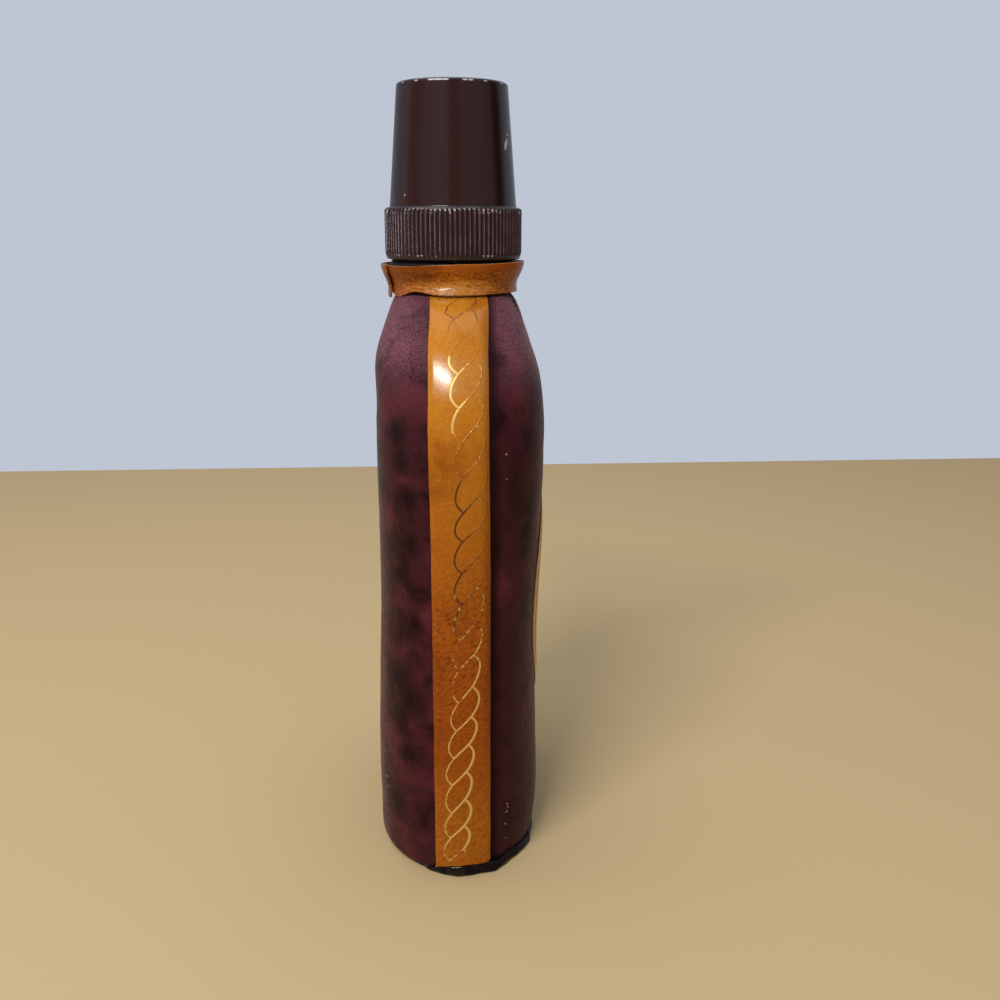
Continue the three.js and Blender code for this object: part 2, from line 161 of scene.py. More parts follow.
FOLD_SHADE = (
    (0, -19.6, 190, 0.8), (0, -19.5, 188.8, 0.9), (0, -19.6, 187.5, 0.9), (0, -19.8, 186.2, 0.8),
    (0, -20, 185, 0.6),
)
FLECKS = (
    (0, -14.3, 144.7, 0.42), (0, -14.4, 136.9, 0.3), (0, -15.2, 22.8, 0.35), (0, -15.4, 21.6, 0.3),
    (0, -15.0, 20.0, 0.4), (0, -14.6, 15.5, 0.35), (0, -14.8, 9.8, 0.3), (0, 26.2, 36.0, 0.3),
    (0, 26.0, 34.4, 0.25), (0, 25.6, 27.0, 0.3), (0, 25.2, 23.6, 0.25),
)
SCUFFS = (
    (-9.3, -16.9, 237.7, 1.0), (-9.9, -16.5, 236.6, 1.25), (-10.4, -16.2, 235.6, 1.0),
    (-8.6, -17.3, 239.6, 0.6), (-6.6, -18.3, 233.2, 0.55), (-13.5, 15.8, 220.9, 0.4),
)
EDGE_GLINTS = (
    (2.6, 1.3), (4.8, 1.5), (6.9, 1.2), (-3.4, 1.0), (-5.2, 1.0), (11.3, 0.8), (15.4, 0.7), (-9.6, 0.8),
    (-15, 0.8),
)


# Settings


def length(name, description, default):
    """A size in metres that a user may change."""
    return bpy.props.FloatProperty(
        name=name, description=description, default=default, unit="LENGTH", precision=5
    )


def number(name, description, default):
    """A plain number that a user may change."""
    return bpy.props.FloatProperty(name=name, description=description, default=default)


def colour(name, description, default):
    """A linear colour that a user may change."""
    return bpy.props.FloatVectorProperty(
        name=name, description=description, default=(*default, 1), subtype="COLOR", size=4, min=0, max=1
    )


class GlassSizes(bpy.types.PropertyGroup):
    """The flask under the leather."""

    half_width: length("Half width", "Half the glass across the wide faces", GLASS_HIGH[0])
    half_depth: length("Half depth", "Half the glass through the thickness", GLASS_HIGH[1])
    end: length("Rounded end", "Length of the rounded end of the oval", 33.5 * MM)
    wall: length("Wall", "Thickness of the glass", 2.6 * MM)
    foot: length("Foot", "Height of the underside of the glass", GLASS_LOW[2])
    rim: length("Rim", "Height of the mouth", GLASS_HIGH[2])
    heel: length("Heel", "Rounding at the foot", 3 * MM)
    neck_at: length("Neck", "Height where the shoulders end", 190 * MM)
    shoulder: length("Shoulder", "Height of the shoulders across the width", 50 * MM)
    slope: length("Slope", "Height of the shoulders through the thickness", 40 * MM)
    neck: length("Neck radius", "Radius of the neck", 17.2 * MM)
    bead: length("Bead radius", "Radius of the bead under the cap", 20.5 * MM)
    flare_at: length("Flare", "Height where the neck starts to widen", 190.6 * MM)
    flare: length("Flare height", "Height over which the neck widens to the bead", 6.2 * MM)
    finish: length("Finish radius", "Radius under the screw thread", 19.2 * MM)
    finish_at: length("Finish height", "Height of the top of the bead", 199.5 * MM)
    bore: length("Bore", "Radius of the mouth", 14.6 * MM)
    pitch: length("Pitch", "Rise of the thread in one turn", 4.2 * MM)
    thread: length("Thread depth", "Height of the thread over its wall", 1.1 * MM)


class CapSizes(bpy.types.PropertyGroup):
    """The jigger cap."""

    skirt: length("Skirt", "Radius of the skirt between its ribs", 22.35 * MM)
    foot: length("Foot", "Height of the skirt's lower edge", CAP_LOW[2])
    top: length("Top", "Height of the cup's top", CAP_HIGH[2])
    shoulder: length("Shoulder", "Height of the skirt's top", 217.4 * MM)
    bore: length("Bore", "Inner radius of the skirt", 20.7 * MM)
    ledge: length("Ledge", "Height of the sealing ledge", 216.1 * MM)
    cup_foot: length("Cup foot", "Radius of the cup at its foot", 21 * MM)
    cup_top: length("Cup top", "Radius of the cup at its top", 18 * MM)
    wall: length("Wall", "Thickness of the cup", 2.2 * MM)
    edge: length("Edge", "Rounding of the cup's top edge", 0.9 * MM)
    rib: length("Rib", "Height of a rib", 0.5 * MM)
    ribs: bpy.props.IntProperty(name="Ribs", description="Ribs round the skirt", default=90)


class LeatherSizes(bpy.types.PropertyGroup):
    """The glued leather pieces."""

    glue: length("Glue", "Gap between layers", 0.3 * MM)
    panel: length("Panel", "Thickness of the maroon leather", 1.2 * MM)
    strip: length("Strip", "Thickness of the tan strips", 1.0 * MM)
    strip_width: length("Strip width", "Width of the tan strips", 18.6 * MM)
    collar: length("Collar", "Thickness of the collar", 0.9 * MM)
    collar_foot: length("Collar foot", "Radius of the collar's lower edge", 21.3 * MM)
    collar_flare: length("Collar flare", "How far the collar widens upwards", 2.5 * MM)
    lap: number("Lap", "Angle of the collar's lap, in radians", 0.32)
    lap_at: number("Lap end", "Angle from +X to the lap's end, in radians", 1.90)
    oval_width: length("Oval half width", "Half the medallion's width", OVAL_HIGH[0])
    oval_height: length("Oval half height", "Half the medallion's height", (OVAL_HIGH[2] - OVAL_LOW[2]) / 2)
    oval: length("Oval", "How far the medallion stands over the panel", 0.55 * MM)
    line: length("Tooled line", "Width of a gold line", 0.62 * MM)
    chain: length("Chain half width", "Half the width of the chain", 4.85 * MM)


class Finishes(bpy.types.PropertyGroup):
    """Colours of the materials."""

    maroon: colour("Maroon", "Main colour of the panels", (0.051, 0.0113, 0.0155))
    maroon_dark: colour("Maroon dark", "Dark clouds in the panels", (0.0115, 0.0032, 0.0046))
    maroon_red: colour("Maroon red", "Red clouds in the panels", (0.11, 0.021, 0.027))
    tan: colour("Tan", "Main colour of the tan leather", (0.35, 0.075, 0.003))
    tan_light: colour("Tan light", "Polished places on the tan leather", (0.51, 0.192, 0.012))
    tan_dark: colour("Tan dark", "Worn and soiled places on the tan leather", (0.12, 0.024, 0.002))
    gold: colour("Gold", "Gold foil", (0.70, 0.42, 0.12))
    sole: colour("Sole", "Dark sole", (0.004, 0.0026, 0.003))
    cap: colour("Cap", "Brown plastic of the cap", (0.0185, 0.0083, 0.0088))
    stopper: colour("Stopper", "White plastic of the stopper", (0.72, 0.70, 0.64))
    glass: colour("Glass", "Tint of the glass", (0.90, 0.95, 0.92))
    floor: colour("Floor", "Pale floor", (0.50, 0.37, 0.19))
    wall: colour("Backdrop", "Pale backdrop", (0.52, 0.56, 0.65))


SETTINGS = {
    "decanter_glass": GlassSizes,
    "decanter_cap": CapSizes,
    "decanter_leather": LeatherSizes,
    "decanter_finish": Finishes,
}


def settings(context):
    """The scene's glass, cap, leather and finish settings."""
    return [getattr(context.scene, name) for name in SETTINGS]


# Form of the body


def clamp01(value):
    return min(1.0, max(0.0, value))


def smooth(low, high, value):
    """0 below low, 1 above high, eased between."""
    t = clamp01((value - low) / (high - low))
    return t * t * (3 - 2 * t)


def fade(low, high, value):
    """1 below low, 0 above high, eased between."""
    return 1 - smooth(low, high, value)


def hump(value, middle, spread):
    return math.exp(-(((value - middle) / spread) ** 2))


def along(points, value):
    """Eased value between (place, value) points."""
    for (a, low), (b, high) in zip(points, points[1:]):
        if value <= b:
            return low + (high - low) * smooth(a, b, value)
    return points[-1][1]


def around(points, angle):
    """The same round a full turn, with the angle in radians and the points in degrees."""
    return along((*points, (points[0][0] + 360, points[0][1])), math.degrees(angle) % 360)


def ripple(x, y, z, scale, seed=0.0):
    """Smooth noise between -1 and 1; scale is the size of a ripple."""
    return noise.noise(Vector((x / scale + seed, y / scale - seed, z / scale + 2 * seed)))


def body_share(z, neck_at, height, fullness):
    """1 on the body and 0 at the neck."""
    s = clamp01((z - neck_at + height) / height)
    return (1 - s**fullness) ** (1 / fullness)


def outline(glass, z, grow):
    """Half width, half depth and rounded end of the oval at a height."""
    wide = body_share(z, glass.neck_at, glass.shoulder, 1.8)
    deep = body_share(z, glass.neck_at, glass.slope, 1.5)
    flared = (glass.bead - glass.neck) * smooth(glass.flare_at, glass.flare_at + glass.flare, z)
    neck = glass.neck + flared + grow
    return (
        neck + (glass.half_width - glass.neck) * wide,
        neck + (glass.half_depth - glass.neck) * deep,
        neck + (glass.end - glass.neck) * wide,
    )


def heel_inset(glass, z):
    """How far the rounded heel of the glass draws in."""
    up = min(glass.heel, max(0.0, z - glass.foot))
    return glass.heel - math.sqrt(glass.heel**2 - (glass.heel - up) ** 2)


def relief(side, z):
    """Where a wide face is fuller or flatter than the plain oval: side is -1 in front and 1 behind."""
    z /= MM
    if side < 0:
        full = 1.6 * hump(z, 145, 34) * fade(168, 186, z) + 0.5 * hump(z, 164, 7)
        full += 0.4 * hump(z, 20, 16) - 0.9 * hump(z, 74, 24) - 1.0 * fade(0, 14, z)
    else:
        flat = smooth(62, 92, z) * fade(152, 168, z)
        full = 1.15 * hump(z, 28, 27) + 0.5 * hump(z, 4, 8) + 1.2 * hump(z, 172, 8) - 0.9 * flat
    return full * MM


def oval_point(half, angle, z):
    """A point of an oval whose straight middle creeps through a few degrees."""
    width, depth, end = half
    c = math.cos(angle)
    flat = max(-1.0, min(1.0, c / STRAIGHT))
    return Vector(((width - end) * flat + end * c, depth * math.sin(angle), z))


def even_angle(share):
    """Angle from 0 to half a turn, with room for the straight middle."""
    bend, straight = 84.26, 11.48
    starts, ends = 0.36, 0.64
    if share < starts:
        return math.radians(bend * share / starts)
    if share > ends:
        return math.pi - even_angle(1 - share)
    return math.radians(bend + straight * (share - starts) / (ends - starts))


def front_point(glass, x, z, grow):
    """A point of the front face at a place across the width."""
    width, depth, end = outline(glass, z, grow + relief(-1, z))
    past = max(0.0, abs(x) - (width - end)) / end
    return Vector((x, -depth * math.sqrt(1 - past * past), z))


# Mesh helpers


def grid(across, up, place):
    """A bmesh grid whose every point is laid at place(u, v)."""
    bm = bmesh.new()
    bmesh.ops.create_grid(bm, x_segments=across, y_segments=up, size=1)
    for v in bm.verts:
        v.co = place(0.5 + 0.5 * v.co.x, 0.5 + 0.5 * v.co.y)
    return bm


def close_up(bm):
    """Merges seams and poles and turns the faces outwards."""
    bmesh.ops.remove_doubles(bm, verts=bm.verts, dist=MERGE)
    bmesh.ops.dissolve_degenerate(bm, dist=FINE_MERGE, edges=bm.edges)
    bmesh.ops.recalc_face_normals(bm, faces=bm.faces)


def face_out(bm, outward):
    """Turns an open sheet so that its faces look along outward(centre)."""
    bmesh.ops.recalc_face_normals(bm, faces=bm.faces)
    if sum(f.normal.dot(outward(f.calc_center_median())) for f in bm.faces) < 0:
        bmesh.ops.reverse_faces(bm, faces=bm.faces)


def turned(profile, steps):
    """A closed body of revolution from a profile of (radius, height)."""
    bm = bmesh.new()
    verts = [bm.verts.new((r, 0, z)) for r, z in profile]
    edges = [bm.edges.new(pair) for pair in zip(verts, verts[1:])]
    bmesh.ops.spin(
        bm, geom=verts + edges, cent=(0, 0, 0), axis=(0, 0, 1), angle=TAU, steps=steps, use_merge=True
    )
    close_up(bm)
    return bm


def rounded(points, radius, segments=5):
    """The same profile with rounded corners; radius gives the corners to round."""
    out = []
    for i, point in enumerate(points):
        if i not in radius:
            out.append(point)
            continue
        corner = Vector((*point, 0))
        before = (Vector((*points[i - 1], 0)) - corner).normalized() * radius[i]
        after = (Vector((*points[i + 1], 0)) - corner).normalized() * radius[i]
        arc = (corner + before, corner + before * 0.45, corner + after * 0.45, corner + after)
        out.extend((p.x, p.y) for p in interpolate_bezier(*arc, segments + 1))
    return out


def dense(profile, step):
    """The same profile with points no further apart than step(radius, height)."""
    out = [profile[0]]
    for a, b in zip(profile, profile[1:]):
        n = max(1, math.ceil(math.dist(a, b) / step((a[0] + b[0]) / 2, (a[1] + b[1]) / 2)))
        out.extend((a[0] + (b[0] - a[0]) * i / n, a[1] + (b[1] - a[1]) * i / n) for i in range(1, n + 1))
    return out


def put_in_scene(name, data):
    obj = bpy.data.objects.new(name, data)
    bpy.context.scene.collection.objects.link(obj)
    return obj


def mesh_object(name, bm, materials):
    mesh = bpy.data.meshes.new(name)
    bm.to_mesh(mesh)
    bm.free()
    for material in materials:
        mesh.materials.append(material)
    return put_in_scene(name, mesh)


def piece(name, bm, materials, node, body="bottle", sharp=40):
    """Makes the object of a bmesh, rides it on its body and puts it in place of its CAD node."""
    obj = mesh_object(name, bm, materials)
    obj.data.shade_smooth()
    obj.data.set_sharp_from_angle(angle=math.radians(sharp))
    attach(obj, body)
    if node:
        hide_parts(node)
    return obj


def thicken(obj, thickness, edge, rim=0, pared=None):
    """Gives a wrapped sheet its thickness inwards and a rounded cut edge."""
    solid = obj.modifiers.new("Thickness", "SOLIDIFY")
    solid.thickness = thickness
    solid.offset = -1
    solid.use_even_offset = False
    solid.material_offset_rim = rim
    if pared:
        solid.vertex_group = obj.vertex_groups.new(name="full").name
        solid.thickness_vertex_group = pared
    if not edge:
        return
    bevel = obj.modifiers.new("Cut edge", "BEVEL")
    bevel.width = edge
    bevel.segments = 2
    bevel.limit_method = "ANGLE"
    bevel.angle_limit = math.radians(55)


# Materials


class Shade:
    """A node tree being filled; values for its nodes are numbers, colours, vectors or other sockets."""

    def __init__(self, tree):
        self.tree = tree

    def put(self, value, socket):
        """Links a socket, or sets a plain value."""
        if isinstance(value, bpy.types.NodeSocket):
            self.tree.links.new(value, socket)
        else:
            socket.default_value = value

    def node(self, kind, *values, **named):
        """A node with values for its first inputs; each name is an input or a setting."""
        node = self.tree.nodes.new("ShaderNode" + kind)
        for name, value in named.items():
            if name in node.inputs:
                self.put(value, node.inputs[name])
            else:
                setattr(node, name, value)
        for value, socket in zip(values, node.inputs):
            self.put(value, socket)
        return node

    def calc(self, operation, *values):
        return self.node("Math", *values, operation=operation).outputs[0]

    def vector(self, operation, *values):
        return self.node("VectorMath", *values, operation=operation).outputs

    def times(self, first, *rest):
        for value in rest:
            first = self.calc("MULTIPLY", first, value)
        return first

    def most(self, first, *rest):
        for value in rest:
            first = self.calc("MAXIMUM", first, value)
        return first

    def plus(self, first, second):
        return self.calc("ADD", first, second)

    def span(self, value, low, high, to_low=0.0, to_high=1.0):
        """A Map Range node, clamped and eased."""
        limits = (value, low, high, to_low, to_high)
        return self.node("MapRange", *limits, interpolation_type="SMOOTHSTEP").outputs["Result"]

    def band(self, value, low, high, soft):
        """1 between low and high, easing to 0 over soft beyond them."""
        return self.times(self.span(value, low - soft, low), self.span(value, high, high + soft, 1.0, 0.0))

    def mix(self, factor, under, over):
        """A colour mix."""
        node = self.node("Mix", factor, data_type="RGBA")
        self.put(under, node.inputs[6])
        self.put(over, node.inputs[7])
        return node.outputs[2]

    def at(self):
        """Object coordinates in metres, for textures."""
        return self.node("TexCoord").outputs["Object"]

    def place(self):
        """Object coordinates in millimetres."""
        return self.vector("DIVIDE", self.at(), (MM, MM, MM))[0]

    def axes(self):
        """The same as x, y and z sockets."""
        return self.node("SeparateXYZ", self.place()).outputs

    def noise(self, scale, at=None, **named):
        """The outputs of a noise texture."""
        return self.node("TexNoise", self.at() if at is None else at, Scale=scale, **named).outputs

    def stretched(self, lengths, turn):
        """Noise drawn out to lengths in millimetres along x, y and z, after a turn about x in degrees."""
        drawn = self.node(
            "Mapping", self.at(), vector_type="TEXTURE", Rotation=(math.radians(turn), 0, 0),
            Scale=[length * MM for length in lengths],
        )
        return self.noise(1.0, drawn.outputs[0], Detail=2.0)[0]

    def shaken(self, scale, amount):
        """Millimetres pushed about by noise, by up to half the amount along each axis."""
        push = self.vector("SUBTRACT", self.noise(scale, Detail=3.0)["Color"], (0.5, 0.5, 0.5))[0]
        return self.vector("MULTIPLY_ADD", push, (amount, amount, amount), self.place())[0]

    def spots(self, place, marks, core=0.35):
        """1 in the core of round marks of (x, y, z, radius) in millimetres, fading to 0 away from them."""
        out = []
        for *centre, radius in marks:
            away = self.vector("DISTANCE", place, centre)["Value"]
            out.append(self.span(away, core * radius, 1.15 * radius, 1.0, 0.0))
        return self.most(*out)

    def group(self, name, **named):
        """The outputs of a shared node group, which is made on first use."""
        tree = bpy.data.node_groups.get(name) or node_group(name, *GROUPS[name])
        return self.node("Group", node_tree=tree, **named).outputs

    def bump(self, height, strength, depth):
        """A bumped normal; depth is in millimetres."""
        return self.node("Bump", Height=height, Strength=strength, Distance=depth * MM).outputs["Normal"]


def node_group(name, inputs, fill):
    """A new shader node group of floats; fill(shade, inputs) returns its outputs by name."""
    tree = bpy.data.node_groups.new(name, "ShaderNodeTree")
    for title, default in inputs.items():
        socket = tree.interface.new_socket(title, in_out="INPUT", socket_type="NodeSocketFloat")
        socket.default_value = default
    results = fill(Shade(tree), tree.nodes.new("NodeGroupInput").outputs)
    for title in results:
        tree.interface.new_socket(title, in_out="OUTPUT", socket_type="NodeSocketFloat")
    out = tree.nodes.new("NodeGroupOutput")
    for title, value in results.items():
        tree.links.new(value, out.inputs[title])
    return tree


def leather_grain(shade, given):
    """Pebbled leather: cells with creases between them, and open pores."""
    at, scale = shade.at(), given["Scale"]
    cells = shade.node("TexVoronoi", at, feature="SMOOTH_F1", Scale=scale).outputs["Distance"]
    fine = shade.noise(scale, Detail=3.0)[0]
    pits = shade.node("TexVoronoi", at, feature="F1", Scale=shade.times(scale, 0.8)).outputs["Distance"]
    pit = shade.times(shade.span(pits, 0.08, 0.3, 1.0, 0.0), given["Pores"])
    height = shade.plus(shade.times(cells, -0.7), shade.times(fine, 0.5))
    return {"Height": shade.calc("SUBTRACT", height, pit), "Pits": pit}


def soft_clouds(shade, given):
    """Two layers of soft clouds, one large and one finer, for mottled and handled finishes."""
    shifted = shade.node("Mapping", shade.at(), Location=(0.31, 0.17, 0.043)).outputs[0]
    large = shade.noise(given["Scale"], Detail=given["Detail"], Roughness=0.55, Distortion=0.6)
    fine = shade.noise(shade.times(given["Scale"], 6.0), shifted, Roughness=0.6, Detail=4.0)
    return {"Large": large[0], "Fine": fine[0]}


GROUPS = {
    "Leather grain": ({"Scale": 1500.0, "Pores": 0.4}, leather_grain),
    "Clouds": ({"Scale": 50.0, "Detail": 4.0}, soft_clouds),
}


def shared(name, look, *args):
    """The material of that name, made on first use; look(shade, ...) returns the shader's inputs."""
    material = bpy.data.materials.get(name)
    if material:
        return material
    material = bpy.data.materials.new(name)
    material.use_nodes = True
    shade = Shade(material.node_tree)
    shader = material.node_tree.nodes["Principled BSDF"]
    for title, value in look(shade, *args).items():
        shade.put(value, shader.inputs[title])
    return material


def maroon_look(shade, finish):
    """Dyed maroon leather, clouded with red and near black, greyer on the shoulders by a painted sheen, with
    pale flecks.
    """
    span, times, mix = shade.span, shade.times, shade.mix
    dark_dye_and_shade = finish.maroon_dark
    clouds = shade.group("Clouds", Scale=74.0, Detail=5.0)
    height = shade.group("Leather grain", Scale=2000.0, Pores=0.3)["Height"]
    large, fine = clouds["Large"], clouds["Fine"]
    x, y, z = shade.axes()
    near = span(x, -6, -2, 1.0, 0.0)
    # Clouds of dye, calmer on the front, with the strongest ones placed; one placed spot is painted shade
    # under the collar.
    drift = shade.shaken(190.0, 6)
    calm = span(y, -14, 0, 0.55, 1.0)
    black = shade.spots(drift, BLACK_DYE_AND_SHADE, core=0.0)
    black = shade.most(times(span(large, 0.52, 0.32), calm, 0.8), black)
    ruddy = times(shade.spots(drift, RED_DYE, core=0.0), span(y, -14, 8, 1.0, 0.6))
    ruddy = shade.most(times(span(large, 0.5, 0.68, 0.0, 0.7), calm), ruddy)
    base = mix(ruddy, finish.maroon, finish.maroon_red)
    base = mix(black, base, dark_dye_and_shade)
    # Shoulders faded by handling and by a painted sheen, brightest toward the outline and on the grain's
    # tops, painted shade on the lining under the cap and a painted shadow along the seam beside the strip.
    fading_and_sheen = times(span(z, 157, 178), span(height, -0.2, 0.12, 0.4, 1.0), span(black, 0.0, 1.0, 1.0, 0.55))
    fading_and_sheen = times(fading_and_sheen, span(shade.calc("ABSOLUTE", y), 10, 18, 0.5, 1.0), span(y, -5, 5, 0.9, 1.0))
    base = mix(fading_and_sheen, base, FADED_SHEEN_MAROON)
    base = mix(span(z, 198.0, 199.2), base, SHADED_LINING)
    base = mix(times(shade.band(y, -10, -8.5, 3.5), 0.85), base, dark_dye_and_shade)
    # Creases of the grain, painted shade along a fold under the collar and flecks where the dye has chipped.
    base = mix(times(span(height, -0.25, 0.12, 0.3, 0.0), span(fine, 0.3, 0.7)), base, dark_dye_and_shade)
    ragged = shade.vector("MULTIPLY", shade.shaken(1400.0, 0.9), (0.0, 1.0, 1.0))[0]
    base = mix(times(shade.spots(ragged, FOLD_SHADE), near), base, dark_dye_and_shade)
    base = mix(times(shade.spots(ragged, FLECKS), near), base, CHIPPED_DYE)
    return {
        "Base Color": base,
        "Roughness": span(fine, 0.3, 0.7, 0.34, 0.46),
        "Specular IOR Level": 0.045,
        "Sheen Weight": 0.15,
        "Sheen Roughness": 0.25,
        "Sheen Tint": (0.95, 0.85, 0.8, 1),
        "Normal": shade.bump(height, 0.8, 0.22),
    }


def tan_base(shade, finish):
    """Colour, height, fine clouds and polish of the tan leather, lighter and shinier where hands rub it,
    with painted light and shade.
    """
    span, times, mix = shade.span, shade.times, shade.mix
    soil_and_shade = finish.tan_dark
    clouds = shade.group("Clouds", Scale=38.0, Detail=4.0)
    grain = shade.group("Leather grain", Scale=1150.0, Pores=0.8)
    large, height = clouds["Large"], grain["Height"]
    _, y, z = shade.axes()
    on_strip = span(z, 184, 188, 1.0, 0.0)
    on_collar = shade.band(z, 189.5, 197, 1.5)
    facing = span(shade.calc("ABSOLUTE", y), 6, 15, 1.0, 0.25)
    # Lighter towards the top partly by hand polish and partly as painted light from above; darker at the
    # collar's top as painted shade under the cap, lighter at the collar's middle over the strips as painted
    # light, lighter low down as painted floor bounce.
    rubbed = times(span(z, 60, 174, 0.0, 0.97), span(z, 194, 197, 1.0, 0.15))
    rubbed = times(rubbed, shade.most(on_strip, facing), span(large, 0.25, 0.6, 0.45, 1.0))
    rubbed = shade.most(rubbed, span(z, 12, 52, 0.42, 0.0))
    base = mix(rubbed, finish.tan, finish.tan_light)
    # The strips are darker along one edge from 30 to 80 mm up.
    edge = times(shade.band(y, -10, -9, 3.5), on_strip, span(z, 30, 80), 0.4)
    base = mix(shade.most(span(large, 0.5, 0.3, 0.0, 0.35), edge), base, soil_and_shade)
    # Slanting creases low down, and pores and fine creases that polish closes higher up.
    slant = span(shade.stretched((1, 2.2, 0.5), -35), 0.5, 0.66)
    low = times(span(z, 85, 120, 0.75, 0.1), span(z, 40, 75, 0.5, 1.0))
    base = mix(times(slant, low), base, soil_and_shade)
    pits = shade.plus(times(grain["Pits"], 0.3), span(height, -0.25, 0.1, 0.3, 0.0))
    base = mix(times(pits, span(z, 90, 125, 1.0, 0.5)), base, soil_and_shade)
    # Wrinkles of the collar with a painted highlight on their crests and painted shade in their furrows, and
    # painted shade at its upper left.
    wrinkles = shade.stretched((1.4, 1.4, 0.4), 14)
    base = mix(times(on_collar, span(wrinkles, 0.5, 0.64, 0.0, 0.6)), base, finish.tan_light)
    base = mix(times(on_collar, span(wrinkles, 0.52, 0.36, 0.0, 0.6)), base, soil_and_shade)
    shade_aside = times(span(y, 1, 10), span(y, 19, 23, 1.0, 0.2))
    base = mix(times(span(z, 192, 196, 0.0, 0.55), shade_aside), base, soil_and_shade)
    height = shade.plus(height, times(wrinkles, on_collar, 18.0))
    polish = shade.most(times(shade.band(z, 188, 193.5, 2), facing), shade.band(z, 164.5, 171, 5))
    return base, height, clouds["Fine"], polish


def tan_look(shade, finish):
    """Vegetable-tanned leather, polished by handling and wrinkled where it is wrapped round the neck."""
    base, height, fine, polish = tan_base(shade, finish)
    # The oval on the front has a glaze of its own, below the collar and forward of the strips.
    _, y, z = shade.axes()
    glazed = shade.times(shade.span(y, -22, -20, 1.0, 0.0), shade.span(z, 145, 150, 1.0, 0.0))
    return {
        "Base Color": base,
        "Roughness": shade.span(fine, 0.3, 0.7, 0.17, 0.27),
        "Coat Weight": shade.most(shade.times(polish, 0.7), glazed),
        "Coat Roughness": 0.22,
        "Specular IOR Level": 0.16,
        "Normal": shade.bump(height, 0.25, 0.1),
    }


def edge_look(shade, base_colour, pale_colour):
    """The raw cut edge of a leather: fibrous and dull."""
    fibres = shade.group("Clouds", Scale=260.0, Detail=4.0)["Fine"]
    return {
        "Base Color": shade.mix(shade.span(fibres, 0.35, 0.65), base_colour, pale_colour),
        "Roughness": 0.7,
        "Normal": shade.bump(fibres, 0.4, 0.15),
    }


def gold_look(shade, finish):
    """Gold foil pressed into tan leather, rubbed away in places down to a dark impression."""
    base, _, fine, _ = tan_base(shade, finish)
    kept = shade.node("Attribute", attribute_name="foil").outputs["Fac"]
    pressed = shade.node("Attribute", attribute_name="pressed").outputs["Fac"]
    rubbed = shade.calc("SUBTRACT", shade.noise(800.0, Detail=3.0, Roughness=0.65)[0], 0.5)
    foil = shade.span(shade.plus(kept, shade.times(rubbed, 1.9)), 0.42, 0.6)
    mark = shade.plus(pressed, shade.times(rubbed, 1.2))
    base = shade.mix(shade.span(mark, 0.3, 0.8, 0.0, 0.9), base, PRESSED_LINE)
    return {
        "Base Color": shade.mix(foil, base, finish.gold),
        "Metallic": shade.times(foil, 0.35),
        "Roughness": shade.span(foil, 0.0, 1.0, 0.36, 0.42),
        "Specular IOR Level": 0.28,
        "Normal": shade.bump(fine, 0.2, 0.05),
    }


def sole_look(shade, finish):
    """Dark sole with a waxed, rubbed edge that glints."""
    clouds = shade.group("Clouds", Scale=90.0, Detail=3.0)
    rusty = shade.span(clouds["Large"], 0.5, 0.75)
    waxed = shade.noise(260.0, Detail=2.0)[0]
    return {
        "Base Color": shade.mix(rusty, finish.sole, RUSTY_SOLE),
        "Roughness": shade.span(clouds["Fine"], 0.3, 0.7, 0.07, 0.17),
        "Specular IOR Level": 0.13,
        "Coat Weight": shade.span(waxed, 0.5, 0.62, 0.0, 0.45),
        "Coat Roughness": 0.1,
        "Normal": shade.bump(clouds["Fine"], 0.8, 0.45),
    }


def cap_look(shade, finish, cap):
    """Dark brown gloss moulding with painted shade and highlights on its ribs and worn top edge, and a few
    scuffs.
    """
    span, times, mix = shade.span, shade.times, shade.mix
    foot, shoulder, top, skirt = (size / MM for size in (cap.foot, cap.shoulder, cap.top, cap.skirt))
    large = shade.group("Clouds", Scale=60.0, Detail=4.0)["Large"]
    x, y, z = shade.axes()
    radius = shade.calc("SQRT", shade.plus(times(x, x), times(y, y)))
    patchy = shade.noise(190.0, Detail=3.0)[0]
    ribbed = shade.band(z, foot + 1.5, shoulder - 0.9, 0.3)
    # Painted shade in the grooves between the ribs, and a painted highlight along their crests, stronger
    # toward -Y.
    groove_shade = times(span(radius, skirt, skirt + 0.25, 0.7, 0.0), ribbed)
    groove_shade = times(groove_shade, span(radius, skirt - 0.3, skirt - 0.1))
    base = mix(groove_shade, finish.cap, RIB_GROOVE_SHADE)
    crest_highlight = times(span(radius, skirt + 0.28, skirt + 0.44), span(patchy, 0.4, 0.6, 0.5, 1.0))
    base = mix(times(crest_highlight, span(y, -12, 10, 1.0, 0.35)), base, RIB_CREST_HIGHLIGHT)
    # Pale places: painted glints on the ends of the ribs and along the worn top edge, and bare scuffs.
    upper = shade.band(z, shoulder - 1.9, shoulder - 0.8, 0.3)
    lower = shade.band(z, foot + 1.2, foot + 1.7, 0.2)
    ends = times(shade.most(upper, lower), span(radius, skirt, skirt + 0.3), span(patchy, 0.48, 0.58))
    ends = times(ends, span(shade.noise(800.0, Detail=1.0)[0], 0.5, 0.62, 0.0, 0.7))
    edge = cap.cup_top / MM - 0.35
    glint_places = [(-math.sqrt(edge**2 - across**2), across, top - 0.75, size) for across, size in EDGE_GLINTS]
    rim = times(shade.spots(shade.shaken(900.0, 0.8), glint_places), shade.band(z, top - 0.9, top - 0.62, 0.12))
    bare = shade.most(shade.spots(shade.shaken(900.0, 1.4), SCUFFS), rim, ends)
    handled = shade.most(times(bare, 0.4), times(ribbed, 0.1))
    return {
        "Base Color": mix(bare, base, BARE_PLASTIC_AND_GLINTS),
        "Roughness": shade.plus(span(large, 0.3, 0.7, 0.09, 0.15), handled),
        "Normal": shade.bump(times(large, span(z, shoulder, shoulder + 0.5)), 0.05, 0.2),
    }


